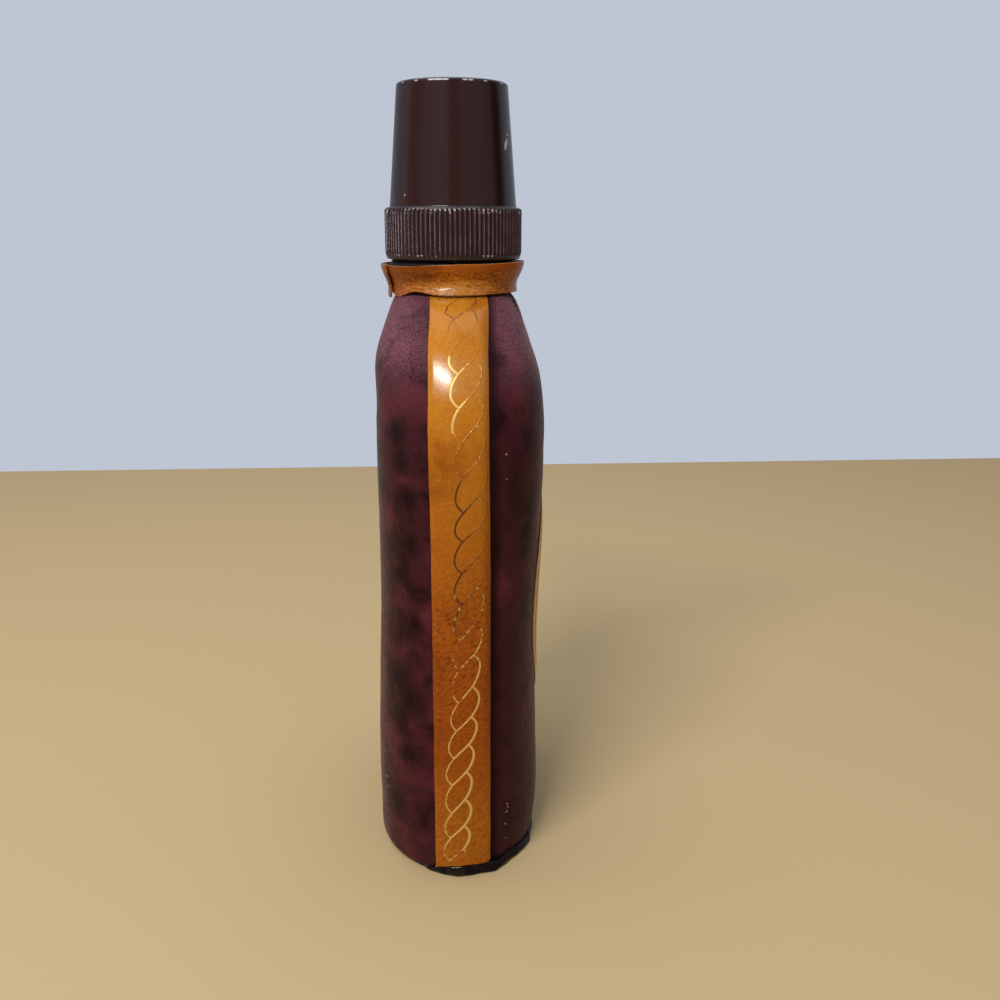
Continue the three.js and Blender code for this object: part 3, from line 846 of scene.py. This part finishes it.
def plain_look(shade, base_colour, rough):
    """Natural soft plastic with a faint cloudiness."""
    clouds = shade.group("Clouds", Scale=80.0, Detail=2.0)
    darker = (*(0.86 * c for c in base_colour[:3]), 1)
    return {
        "Base Color": shade.mix(clouds["Large"], base_colour, darker),
        "Roughness": shade.span(clouds["Fine"], 0.3, 0.7, rough - 0.06, rough + 0.06),
        "Subsurface Weight": 0.1,
        "Subsurface Radius": (0.002, 0.002, 0.0015),
    }


def glass_look(shade, tint):
    """Clear moulded glass with a faint ripple."""
    ripples = shade.group("Clouds", Scale=30.0, Detail=2.0)["Large"]
    return {
        "Base Color": tint,
        "Transmission Weight": 1.0,
        "IOR": 1.5,
        "Roughness": 0.03,
        "Normal": shade.bump(ripples, 0.1, 0.5),
    }


def tan_of(finish):
    return [shared("tan_hide", tan_look, finish), shared("tan_edge", edge_look, *TAN_EDGE)]


def maroon_of(finish):
    return [shared("maroon_hide", maroon_look, finish), shared("maroon_edge", edge_look, *MAROON_EDGE)]


# Pieces


def thread_height(glass, turn_share, z, start, turns):
    """How far a right-hand thread stands over its wall, from 0 to 1, at an angle and height."""
    best = 0.0
    for whole in range(-1, int(turns) + 2):
        turn = turn_share + whole
        if not 0 <= turn <= turns:
            continue
        off = abs(z - start - glass.pitch * turn)
        runout = clamp01(min(turn, turns - turn) / 0.12)
        best = max(best, runout * clamp01((THREAD_FOOT / 2 - off) / (THREAD_FOOT / 2 - THREAD_CREST / 2)))
    return best


class DECANTER_OT_glass(bpy.types.Operator):
    """Makes the flask with its neck bead and screw thread"""

    bl_idname = "decanter.glass"
    bl_label = "Glass flask"

    def stations(self, glass):
        """(height, grow, kind) of every ring, from the middle of the underside round to the floor inside."""
        heel = [glass.foot + glass.heel * t for t in (0, 0.1, 0.3, 0.6, 1)]
        body = [glass.foot + 10 * MM + 13 * MM * i for i in range(10)]
        rise = [glass.neck_at - glass.shoulder * (1 - math.sin(i / 24 * math.pi / 2)) for i in range(25)]
        flare = [glass.flare_at + glass.flare * i / 8 for i in range(9)]
        outside = [(z, 0.0, "oval") for z in heel + body + rise + flare]
        outside.append((glass.finish_at - 0.9 * MM, 0.0, "bead"))
        edge = glass.rim - 0.8 * MM
        height = edge - glass.finish_at
        finish = [(glass.finish_at + height * i / 48, 0.0, "finish") for i in range(49)]
        lip = [(glass.rim - 0.25 * MM, -0.25 * MM, "finish"), (glass.rim, -0.9 * MM, "finish")]
        mouth = [(glass.rim, 0.6 * MM), (edge, 0.0), (glass.flare_at, 0.0)]
        mouth = [(z, grow, "bore") for z, grow in mouth]
        inside = [(z, -glass.wall, "oval") for z in reversed(heel[-1:] + body[1:] + rise[:-1])]
        inside.append((glass.foot + 4 * MM, -glass.wall - glass.heel, "oval"))
        return outside + finish + lip + mouth + inside

    def execute(self, context):
        glass, _, _, finish = settings(context)
        rings = self.stations(glass)
        closed = [rings[0]] + rings + [rings[-1]]
        last = len(closed) - 1

        def place(u, v):
            i = round(v * last)
            z, grow, kind = closed[i]
            if i in (0, last):
                return Vector((0, 0, z))
            angle = TAU * u
            if kind == "oval":
                side = math.copysign(1, math.sin(angle))
                drawn = min(0.0, relief(side, z)) * abs(math.sin(angle))
                return oval_point(outline(glass, z, grow + drawn - heel_inset(glass, z)), angle, z)
            r = {"bead": glass.bead, "finish": glass.finish, "bore": glass.bore}[kind] + grow
            if kind == "finish":
                start = glass.finish_at + THREAD_RISE
                r += glass.thread * thread_height(glass, u % 1, z, start, GLASS_TURNS)
            return Vector((r * math.cos(angle), r * math.sin(angle), z))

        bm = grid(GLASS_COLUMNS, last, place)
        close_up(bm)
        piece("glass_flask", bm, [shared("clear_glass", glass_look, finish.glass)], "glass_bottle")
        return {"FINISHED"}


class DECANTER_OT_closure(bpy.types.Operator):
    """Makes the inner stopper and the sealing ring"""

    bl_idname = "decanter.closure"
    bl_label = "Stopper and liner"

    def execute(self, context):
        glass, _, _, finish = settings(context)
        low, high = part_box("stopper")
        seat = glass.rim + 0.3 * MM
        plug = glass.bore - 0.35 * MM
        flange, top, foot = high[0], high[2], low[2]
        dish = top - 0.5 * MM
        hollow = plug - 1.9 * MM
        wall = [
            (0, dish), (flange - 3 * MM, dish), (flange - 2.4 * MM, top), (flange, top), (flange, seat),
            (plug, seat), (plug, foot + 6 * MM), (plug - 0.5 * MM, foot), (hollow, foot), (hollow, seat),
            (0, seat),
        ]
        profile = rounded(wall, {3: 0.4 * MM, 4: 0.2 * MM, 7: 0.4 * MM, 8: 0.3 * MM, 9: 1.0 * MM})
        white = shared("stopper_white", plain_look, finish.stopper, 0.42)
        plug_bm = turned(profile, TURNED_STEPS)
        piece("inner_plug", plug_bm, [white], "stopper", "inner_stopper")
        low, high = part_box("cap_liner")
        inner, outer = flange + 0.35 * MM, high[0]
        foot, top = low[2], high[2]
        ring = [(inner, foot), (outer, foot), (outer, top), (inner, top), (inner, foot)]
        ring = rounded(ring, dict.fromkeys((1, 2, 3), 0.25 * MM))
        foam = shared("liner_foam", plain_look, LINER_FOAM, 0.6)
        ring_bm = turned(ring, TURNED_STEPS)
        piece("sealing_ring", ring_bm, [foam], "cap_liner", "liner")
        return {"FINISHED"}


class DECANTER_OT_cap(bpy.types.Operator):
    """Makes the jigger cap: tapered cup, ribbed skirt and inner thread"""

    bl_idname = "decanter.cap"
    bl_label = "Jigger cap"

    def profile(self, cap):
        """The cap's section from the cup's roof inside, round the skirt, to the cup's top."""
        points = [
            (0, cap.top - cap.wall), (cap.cup_top - cap.wall, cap.top - cap.wall),
            (cap.bore - 2.5 * MM, cap.ledge), (cap.bore, cap.ledge), (cap.bore, cap.foot),
            (cap.skirt, cap.foot), (cap.skirt, cap.shoulder), (cap.cup_foot, cap.shoulder),
            (cap.cup_top, cap.top), (0, cap.top),
        ]
        inner, lip, shoulder, foot = 0.3 * MM, 0.6 * MM, 0.7 * MM, 0.45 * MM
        radius = {1: 2 * MM, 2: inner, 3: inner, 4: inner, 5: lip, 6: shoulder, 7: foot, 8: cap.edge}

        def step(r, z):
            if z > cap.shoulder:
                return 6 * MM
            return 0.32 * MM if abs(r - cap.bore) < 0.01 * MM else 0.9 * MM

        return dense(rounded(points, radius), step)

    def execute(self, context):
        glass, cap, _, finish = settings(context)
        bm = turned(self.profile(cap), cap.ribs * STEPS_PER_RIB)
        low, high = cap.foot + 1.2 * MM, cap.shoulder - 0.3 * MM
        start = glass.finish_at + THREAD_RISE - 0.3 * glass.pitch
        for v in bm.verts:
            r = math.hypot(v.co.x, v.co.y)
            if r < 1 * MM:
                continue
            angle = math.atan2(v.co.y, v.co.x) % TAU
            push = 0.0
            if r > cap.cup_foot + 0.3 * MM and v.co.z < cap.shoulder + 0.1 * MM:
                wave = 0.5 + 0.5 * math.cos(cap.ribs * angle)
                ends = smooth(low, low + 0.5 * MM, v.co.z) * fade(high - 0.5 * MM, high, v.co.z)
                push = cap.rib * (wave - 0.1) * ends
            elif abs(r - cap.bore) < 0.02 * MM and v.co.z < cap.ledge - 0.5 * MM:
                turn = (angle / TAU - 0.2) % 1
                push = -glass.thread * thread_height(glass, turn, v.co.z, start, CAP_TURNS)
            v.co.x += push * math.cos(angle)
            v.co.y += push * math.sin(angle)
        brown = shared("cap_gloss", cap_look, finish, cap)
        piece("cup_cap", bm, [brown], "jigger_cap", "cap", sharp=60)
        return {"FINISHED"}


def panel_level(v, foot):
    """Height of a row of a panel: the last rows crowd where the leather turns in under the cap."""
    neck, top, bend = 195 * MM, PANEL_TOP + 1.0 * MM, 0.926
    if v < bend:
        return foot + (neck - foot) * v / bend
    return neck + (top - neck) * (v - bend) / (1 - bend)


def panel_point(glass, leather, side, u, v):
    """A point of a panel's face: side is -1 in front and 1 behind."""
    margin = 0.006
    angle = even_angle(margin + (1 - 2 * margin) * u)
    foot = around(LEATHER_FOOT, side * angle) * MM
    z = panel_level(v, foot)
    up = z / MM
    pared = 0.5 * smooth(189, 196, up) + 1.05 * smooth(199.1, 200.8, up)
    pared += 0.35 * fade(0.0, 1.2, (z - foot) / MM)
    grow = leather.glue + leather.panel - pared * MM
    plain = oval_point(outline(glass, z, grow), angle, z)
    small = 0.18 * ripple(plain.x, side * 10 * MM, z, 16 * MM, 3.1)
    small += 0.07 * ripple(plain.x, side * 10 * MM, z, 5 * MM, 7.7)
    small *= fade(186, 195, up)
    if side < 0:
        # A fold just under the collar.
        small += (0.4 * hump(angle, 1.74, 0.06) - 0.8 * hump(angle, 1.87, 0.045)) * hump(up, 187, 4.5)
    bow = relief(side, z) * abs(math.sin(angle))
    point = oval_point(outline(glass, z, grow + small * MM + bow), angle, z)
    point.y *= side
    return point


class DECANTER_OT_panels(bpy.types.Operator):
    """Makes the two maroon leather panels"""

    bl_idname = "decanter.panels"
    bl_label = "Maroon panels"

    def execute(self, context):
        glass, _, leather, finish = settings(context)
        for name, node, side in (("front_leather", "front_panel", -1), ("back_leather", "back_panel", 1)):
            bm = grid(*PANEL_GRID, lambda u, v: panel_point(glass, leather, side, u, v))
            face_out(bm, lambda centre: Vector((0, side, 0)))
            obj = piece(name, bm, maroon_of(finish), node)
            thicken(obj, leather.panel * 0.85, 0.25 * MM, rim=1)
        return {"FINISHED"}


def strip_levels(glass, low, high, count):
    """Heights up a narrow side that are evenly spaced along the strip's face, and the length they span."""
    samples = [low + (high - low) * i / 800 for i in range(801)]
    wide = [outline(glass, z, STRIP_FACE)[0] for z in samples]
    run = [0.0]
    for i in range(800):
        run.append(run[-1] + math.hypot(samples[i + 1] - samples[i], wide[i + 1] - wide[i]))
    out = []
    k = 0
    for i in range(count + 1):
        want = run[-1] * i / count
        while k < 799 and run[k + 1] < want:
            k += 1
        t = (want - run[k]) / (run[k + 1] - run[k])
        out.append(samples[k] + (samples[k + 1] - samples[k]) * t)
    return out, run[-1]


def strip_point(glass, leather, side, across, z, lift):
    """A point of a strip's face; across runs to the right of someone looking at it."""
    pared = 0.75 * MM * smooth(COLLAR_LOW[2] - 3 * MM, COLLAR_LOW[2] + 1 * MM, z)
    width, depth, end = outline(glass, z, leather.glue * 2 + leather.panel + leather.strip - pared + lift)
    y = side * across
    return Vector((side * ((width - end) + end * math.sqrt(1 - (y / depth) ** 2)), y, z))


def strip_ripple(side, across, z):
    """How far the strip's hand-laid face waves."""
    return 0.08 * MM * ripple(side, across, z, 12 * MM, 5.0)


def strip_shift(z):
    """How far a strip runs off its middle line."""
    return (1.0 * smooth(172, 190, z / MM) - 0.4 * hump(z / MM, 147, 18)) * MM


class DECANTER_OT_strips(bpy.types.Operator):
    """Makes the tan strips up the narrow sides"""

    bl_idname = "decanter.strips"
    bl_label = "Tan strips"

    def execute(self, context):
        glass, _, leather, finish = settings(context)
        columns, rows = STRIP_GRID
        levels, _ = strip_levels(glass, 0.0, COLLAR_LOW[2] + 3 * MM, rows)
        half = leather.strip_width / 2
        drawn = 14 * MM
        for name, node, side in (("near_leather", "near_strip", -1), ("far_leather", "far_strip", 1)):

            def place(u, v):
                t = 2 * u - 1
                z = levels[round(v * rows)]
                edge = half + 0.12 * MM * ripple(side, math.copysign(1, t), z, 9 * MM, 1.3)
                angle = (math.pi if side < 0 else 0) + math.asin(t * half / glass.half_depth)
                foot = (around(LEATHER_FOOT, angle) + 0.9 * smooth(0.82, 1.0, t) ** 2) * MM
                z = foot + z * (1 - foot / drawn) if z < drawn else z
                lift = strip_ripple(side, t * half, z) - 0.3 * MM * smooth(0.84, 1.0, abs(t))
                return strip_point(glass, leather, side, t * edge + strip_shift(z), z, lift)

            bm = grid(columns, rows, place)
            face_out(bm, lambda centre: Vector((side, 0, 0)))
            obj = piece(name, bm, tan_of(finish), node)
            thicken(obj, leather.strip, 0.22 * MM, rim=1)
        return {"FINISHED"}


def ribbons(lines, width, surface, outward):
    """Slightly crowned ribbons along flat paths, laid on a surface(a, b, lift); width(a, b) in metres."""
    bm = bmesh.new()
    for line in lines:
        last = len(line) - 1
        closed = line[0] == line[-1]
        made = bmesh.ops.create_grid(bm, x_segments=3, y_segments=last, size=1)["verts"]
        for v in made:
            i = round((v.co.y + 1) / 2 * last)
            here = Vector(line[i])
            run = Vector(line[min(i + 1, last)]) - Vector(line[max(i - 1, 0)])
            if closed and i in (0, last):
                run = Vector(line[1]) - Vector(line[-2])
            share = v.co.x
            here += Vector((-run.y, run.x)).normalized() * share * width(*here) / 2
            v.co = surface(*here, (0.07 - 0.06 * share * share) * MM)
        if closed:
            bmesh.ops.remove_doubles(bm, verts=made, dist=FINE_MERGE)
    bm.normal_update()
    wrong = [f for f in bm.faces if f.normal.dot(outward) < 0]
    bmesh.ops.reverse_faces(bm, faces=wrong)
    return bm


def gilded(name, bm, finish, foil, pressed):
    """A piece of gold lines; each point stores how much foil is left and how dark the bare line is."""
    kept = bm.verts.layers.float.new("foil")
    dark = bm.verts.layers.float.new("pressed")
    for v in bm.verts:
        v[kept] = foil(v.co)
        v[dark] = pressed(v.co)
    obj = piece(name, bm, [shared("gold_tooling", gold_look, finish)], None, sharp=80)
    thicken(obj, 0.25 * MM, 0)
    return obj


def link_path():
    """The points of one link of the chain."""
    path = []
    for start, leave, arrive, end in LINK:
        a, d = Vector((*start, 0)), Vector((*end, 0))
        b, c = a + Vector((*leave, 0)), d + Vector((*arrive, 0))
        path += interpolate_bezier(a, b, c, d, LINK_POINTS)[(1 if path else 0):]
    return path


def link_rise(link):
    """Run along the strip at a link number, counted from the lowest."""
    whole = max(-2, min(len(CHAIN_STEPS) - 1, math.floor(link)))
    below = 3.4 + sum(CHAIN_STEPS[:max(0, whole)]) + min(0, whole) * CHAIN_STEPS[0]
    return (below + (link - whole) * CHAIN_STEPS[max(0, whole)]) * MM


class Chain:
    """The chain on one strip: side is -1 near and 1 far; s is a run up the strip and r a place across it."""

    def __init__(self, glass, leather, side):
        self.glass, self.leather, self.side = glass, leather, side
        self.levels, self.run = strip_levels(glass, 2.7 * MM, COLLAR_LOW[2] + 1 * MM, CHAIN_LEVELS)

    def level(self, s):
        return self.levels[round(clamp01(s / self.run) * CHAIN_LEVELS)]

    def surface(self, across, s, lift):
        z = self.level(s)
        lift += strip_ripple(self.side, across - strip_shift(z), z)
        return strip_point(self.glass, self.leather, self.side, across, z, lift)

    def offset(self, across, z):
        """How far right of the chain's middle, from -1 to 1."""
        half = self.leather.chain * along(CHAIN_TAPER, z / MM)
        return (across - along(CHAIN_DRIFT, z / MM) * MM) / half

    def breadth(self, across, s):
        z = self.level(s)
        lean = along(LINE_LEAN, z / MM) * self.offset(across, z)
        return self.leather.line * along(LINE_BREADTH, z / MM) * (1 + lean)

    def foil(self, co):
        z, r = co.z / MM, self.offset(self.side * co.y, co.z)
        low = along(FOIL_LEFT, z) + 0.26 * r * smooth(6, 12, z) * fade(80, 92, z)
        low *= fade(100, 110, z) * (1 - smooth(0.1, 0.4, r) * fade(9, 11, z))
        upper = smooth(148, 156, z) * fade(172, 176, z)
        faint = 0.32 * smooth(128, 146, z) * fade(172, 180, z)
        return max(low, upper * (0.54 - 0.5 * r), faint)

    def pressed(self, co):
        z, r = co.z / MM, self.offset(self.side * co.y, co.z)
        middle = smooth(80, 96, z) * fade(132, 150, z)
        return max(middle * (0.62 - 0.3 * r), 0.3 * smooth(172, 177, z), 0.6 * smooth(180, 185, z), 0.08)

    def lines(self):
        """The flat path of every link that lies on the strip, with the wobble of a hand."""
        out = []
        for k in range(-2, len(CHAIN_STEPS) + 1):
            line = []
            for p in link_path():
                s = link_rise(k + p.y)
                if not 2.6 * MM < s < self.run - 0.3 * MM:
                    continue
                z = self.level(s) / MM
                rough = 0.035 + 0.17 * smooth(178, 184, z)
                wobble = rough * ripple(p.x, k, p.y, 0.24 if z > 178 else 1.0, 2.1 + self.side)
                half = self.leather.chain * along(CHAIN_TAPER, z)
                line.append((half * (p.x + wobble) + along(CHAIN_DRIFT, z) * MM, s))
            if len(line) > 3:
                out.append(line)
        return out


class DECANTER_OT_tooling(bpy.types.Operator):
    """Makes the gold-tooled chains up the tan strips"""

    bl_idname = "decanter.tooling"
    bl_label = "Gold chains"

    def execute(self, context):
        glass, _, leather, finish = settings(context)
        for name, under, side in (("near_chain", "near_leather", -1), ("far_chain", "far_leather", 1)):
            plan = Chain(glass, leather, side)
            bm = ribbons(plan.lines(), plan.breadth, plan.surface, Vector((side, 0, 0)))
            chain = gilded(name, bm, finish, plan.foil, plan.pressed)
        return {"FINISHED"}


class DECANTER_OT_collar(bpy.types.Operator):
    """Makes the tan collar round the neck, with its lapped end"""

    bl_idname = "decanter.collar"
    bl_label = "Neck collar"

    def execute(self, context):
        _, _, leather, finish = settings(context)
        low, high = COLLAR_LOW[2], COLLAR_HIGH[2]
        total = TAU + leather.lap
        ramp = 0.45

        def full(turn):
            """0 under the lap, where the leather is pared, and 1 past it."""
            return smooth(leather.lap * 0.7, leather.lap + ramp, turn)

        def place(u, v):
            turn = total * u
            last = smooth(total - 0.7, total, turn)
            angle = leather.lap_at - leather.lap + turn + 0.16 * (v - 0.5) * last
            c, s = math.cos(angle), math.sin(angle)
            a = angle % TAU
            foot = 0.35 + 0.2 * ripple(c, s, 0, 0.5, 4.4) - 1.25 * smooth(TAU - 0.1, TAU + 0.2, turn)
            foot = low + (foot + 0.9 * hump(a, 2.52, 0.22) - 1.25 * hump(a, 2.05, 0.24)) * MM
            head = high + (0.1 - 0.4 * s - 0.6 * hump(a, 2.3, 0.5) + 0.12 * ripple(c, s, 1, 0.3, 9.2)) * MM
            # The lap and its lifted end, the flare over the strips and the wrinkles.
            out = (0.85 - 0.15 * v) * smooth(TAU - ramp, TAU, turn) - 0.5 * (1 - full(turn))
            out += 0.3 * smooth(total - 0.16, total, turn) * v
            out += 2.2 * hump(s, 0.0, 0.55) * max(0.0, 1 - v / 0.55) ** 2
            out += 0.14 * ripple(c, s, 0.2 * v, 0.14, 6.1) * (1 - v) + 0.15 * ripple(c, s, v, 0.45, 8.8)
            out += (0.03 + 0.14 * hump(v, 0.4, 0.22)) * ripple(c, s, 2.4 * v, 0.27, 2.2)
            r = leather.collar_foot + leather.collar_flare * smooth(0.2, 1.0, v) + out * MM
            return Vector((r * c, r * s, foot + (head - foot) * v))

        across, up = COLLAR_GRID
        bm = grid(across, up, place)
        weight = bm.verts.layers.deform.verify()
        for i, v in enumerate(bm.verts):
            v[weight][0] = full(total * (i % (across + 1)) / across)
        face_out(bm, lambda centre: Vector((centre.x, centre.y, 0)))
        obj = piece("collar_leather", bm, tan_of(finish), "neck_collar")
        thicken(obj, leather.collar, 0.2 * MM, rim=1, pared=0.45)
        return {"FINISHED"}


class DECANTER_OT_sole(bpy.types.Operator):
    """Makes the dark sole with its uneven, waxed edge"""

    bl_idname = "decanter.sole"
    bl_label = "Sole"

    def execute(self, context):
        glass, _, _, finish = settings(context)
        half = outline(glass, glass.foot, 0.0)
        last = len(SOLE_EDGE) + 7

        def place(u, v):
            i = round(v * last)
            angle = TAU * u
            level = SOLE_TOP if i > last / 2 else 0.0
            if i in (0, last):
                return Vector((0, 0, level))
            if i in (1, 2, last - 1, last - 2):
                share = 0.45 if i in (1, last - 1) else 0.86
                return oval_point([h * share for h in half], angle, level)
            rim = (around(LEATHER_FOOT, angle) - 0.05) * MM
            if i == last - 3:
                return oval_point(outline(glass, glass.foot, 0.15 * MM), angle, SOLE_TOP)
            if i == last - 4:
                return oval_point(outline(glass, glass.foot, 0.3 * MM), angle, rim)
            height, inset = SOLE_EDGE[i - 3]
            c, s = math.cos(angle), math.sin(angle)
            wave = 0.25 * ripple(c, s, height * 0.25, 0.1, 2.9) + 0.25 * ripple(c, s, 0, 0.3, 5.3)
            reach = around(SOLE_REACH, angle)
            reach = (reach + wave * smooth(0.8, 2.4, reach) - inset * min(1.0, reach / 2)) * MM
            uneven = 0.15 * MM * ripple(c, s, 0, 0.1, 7.9) * smooth(0.4, 0.8, height) * (1 - height)
            return oval_point(outline(glass, glass.foot, reach), angle, max(0.0, height * rim + uneven))

        bm = grid(SOLE_COLUMNS, last, place)
        close_up(bm)
        dark = shared("sole_hide", sole_look, finish)
        piece("sole_leather", bm, [dark], "base_sole", sharp=60)
        return {"FINISHED"}


class DECANTER_OT_medallion(bpy.types.Operator):
    """Makes the tan oval on the front with its gold-tooled border"""

    bl_idname = "decanter.medallion"
    bl_label = "Front medallion"

    def execute(self, context):
        glass, _, leather, finish = settings(context)
        middle = (OVAL_LOW[2] + OVAL_HIGH[2]) / 2
        face = leather.glue * 2 + leather.panel + leather.oval
        forward = Vector((0, -1, 0))

        def flat(share, angle):
            """Place on the oval, across and up."""
            x = leather.oval_width * share * math.cos(angle)
            return x, middle + leather.oval_height * share * math.sin(angle)

        def surface(x, z, lift):
            return front_point(glass, x, z, face + lift)

        def place(u, v):
            drop = 0.45 * MM * smooth(0.86, 1.0, v)
            wave = 0.08 * MM * ripple(math.cos(TAU * u) * v, math.sin(TAU * u) * v, 0, 0.3, 1.9)
            return surface(*flat(v, TAU * u), wave - drop)

        bm = grid(*OVAL_GRID, place)
        close_up(bm)
        face_out(bm, lambda centre: forward)
        obj = piece("oval_leather", bm, tan_of(finish), "front_medallion")
        thicken(obj, 0.4 * MM, 0.12 * MM, rim=1)
        lines = []
        for share in (0.90, 0.85, 0.74):
            ring = [flat(share, TAU * i / RING_POINTS) for i in range(RING_POINTS)]
            lines.append(ring + ring[:1])
        bm = ribbons(lines, lambda x, z: leather.line, surface, forward)
        border = gilded("oval_border", bm, finish, lambda co: 0.85, lambda co: 0.4)
        return {"FINISHED"}


class DECANTER_OT_stage(bpy.types.Operator):
    """Makes the pale floor and backdrop, the soft lights and the camera"""

    bl_idname = "decanter.stage"
    bl_label = "Stage"

    def floor(self, base_colour):
        bm = bmesh.new()
        bmesh.ops.create_grid(bm, x_segments=1, y_segments=1, size=2.5)
        bmesh.ops.translate(bm, verts=bm.verts, vec=(-1.97, 0, 0))
        matt = shared("floor", lambda shade: {"Base Color": base_colour, "Roughness": 0.8})
        obj = mesh_object("floor", bm, [matt])
        obj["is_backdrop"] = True

    def lamp(self, name, energy, size, place, target, tint):
        light = bpy.data.lights.new(name, "AREA")
        light.energy = energy
        light.shape = "RECTANGLE"
        light.size, light.size_y = size
        light.color = tint
        obj = put_in_scene(name, light)
        obj.location = place
        obj.rotation_euler = (Vector(target) - Vector(place)).to_track_quat("-Z", "Y").to_euler()
        obj.visible_camera = False

    def camera(self, scene):
        place = (-0.3467, 0.00925, 0.2137)
        yaw, pitch, roll = (math.radians(a) for a in (4.16, 15.68, 0.21))
        data = bpy.data.cameras.new("camera")
        data.sensor_width = 36
        data.lens = 36.0
        data.clip_start = 0.01
        obj = put_in_scene("camera", data)
        look = Vector((math.cos(yaw) * math.cos(pitch), -math.sin(yaw) * math.cos(pitch), -math.sin(pitch)))
        right = Vector((-math.sin(yaw), -math.cos(yaw), 0))
        turn = Matrix((right, right.cross(look), -look)).transposed() @ Matrix.Rotation(roll, 3, "Z")
        obj.matrix_world = Matrix.Translation(place) @ turn.to_4x4()
        scene.camera = obj

    def surroundings(self, scene, wall):
        """A pale backdrop; reflections find it behind and above, and a dim room with lit walls in front."""
        scene.world = scene.world or bpy.data.worlds.new("World")
        scene.world.use_nodes = True
        tree = scene.world.node_tree
        shade = Shade(tree)
        path = shade.node("LightPath").outputs
        x, y, z = shade.node("SeparateXYZ", shade.node("TexCoord").outputs["Generated"]).outputs
        bearing = shade.calc("ARCTAN2", y, shade.times(x, -1.0))
        ramp = shade.node("ValToRGB", shade.plus(shade.calc("DIVIDE", bearing, TAU), 0.5))
        stops = (
            (-180, 0.65, wall), (-114, 0.65, wall), (-104, 0.22, wall), (-98, 0.0, wall), (-87, 0.0, DUSK),
            (-79, 0.6, DUSK), (-60, 0.85, DUSK), (-20, 0.9, DUSK), (-8, 0.85, WARM), (6, 0.85, WARM),
            (14, 1.2, DUSK), (35, 1.15, DUSK), (60, 0.95, DUSK), (70, 0.85, WARM), (88, 0.85, WARM),
            (101, 1.1, DUSK), (122, 0.5, wall), (180, 0.5, wall),
        )
        elements = ramp.color_ramp.elements
        while len(elements) < len(stops):
            elements.new(0.5)
        for element, (degrees, share, tint) in zip(elements, stops):
            element.position = degrees / 360 + 0.5
            element.color = (*(share * c for c in tint[:3]), 1)
        room = shade.mix(shade.span(z, 0.35, 0.75), ramp.outputs["Color"], wall)
        seen = shade.most(path["Is Glossy Ray"], path["Is Transmission Ray"])
        light = shade.mix(seen, AMBIENT, room)
        light = shade.mix(path["Is Camera Ray"], light, wall)
        tree.links.new(light, tree.nodes["Background"].inputs["Color"])

    def execute(self, context):
        scene = context.scene
        finish = scene.decanter_finish
        self.floor(finish.floor)
        self.surroundings(scene, finish.wall)
        self.lamp("key", 8.5, (0.44, 0.1), (-0.61, 0.36, 0.90), (0, 0, 0.14), (1, 0.97, 0.93))
        self.lamp("window", 0.5, (0.12, 0.06), (0.08, 0.9, 0.2), (0, 0, 0.2), (0.95, 0.97, 1))
        self.lamp("top", 4.0, (0.8, 0.8), (0.25, 0.05, 1.1), (0, 0, 0.1), (0.96, 0.98, 1))
        self.camera(scene)
        scene.view_settings.view_transform = "Standard"
        return {"FINISHED"}


OPERATORS = [
    DECANTER_OT_glass, DECANTER_OT_closure, DECANTER_OT_cap, DECANTER_OT_panels, DECANTER_OT_strips,
    DECANTER_OT_tooling, DECANTER_OT_collar, DECANTER_OT_sole, DECANTER_OT_medallion, DECANTER_OT_stage,
]


class DECANTER_PT_panel(bpy.types.Panel):
    """Lists the decanter's settings and pieces"""

    bl_label = "Decanter"
    bl_idname = "DECANTER_PT_panel"
    bl_space_type = "VIEW_3D"
    bl_region_type = "UI"
    bl_category = "Decanter"

    def draw(self, context):
        for operator in OPERATORS:
            self.layout.operator(operator.bl_idname)
        for name, kind in SETTINGS.items():
            box = self.layout.box()
            box.label(text=kind.__doc__)
            for key in kind.__annotations__:
                box.prop(getattr(context.scene, name), key)


CLASSES = [*SETTINGS.values(), *OPERATORS, DECANTER_PT_panel]


def register():
    for cls in CLASSES:
        bpy.utils.register_class(cls)
    for name, kind in SETTINGS.items():
        setattr(bpy.types.Scene, name, bpy.props.PointerProperty(type=kind))


def unregister():
    for name in SETTINGS:
        delattr(bpy.types.Scene, name)
    for cls in reversed(CLASSES):
        bpy.utils.unregister_class(cls)


def main():
    register()
    for operator in OPERATORS:
        group, name = operator.bl_idname.split(".")
        getattr(getattr(bpy.ops, group), name)()
    box = {"cad": CAD_BOX, "visual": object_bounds()}
    {key: [[float(x) for x in corner] for corner in value] for key, value in box.items()}


if __name__ == "__main__":
    main()
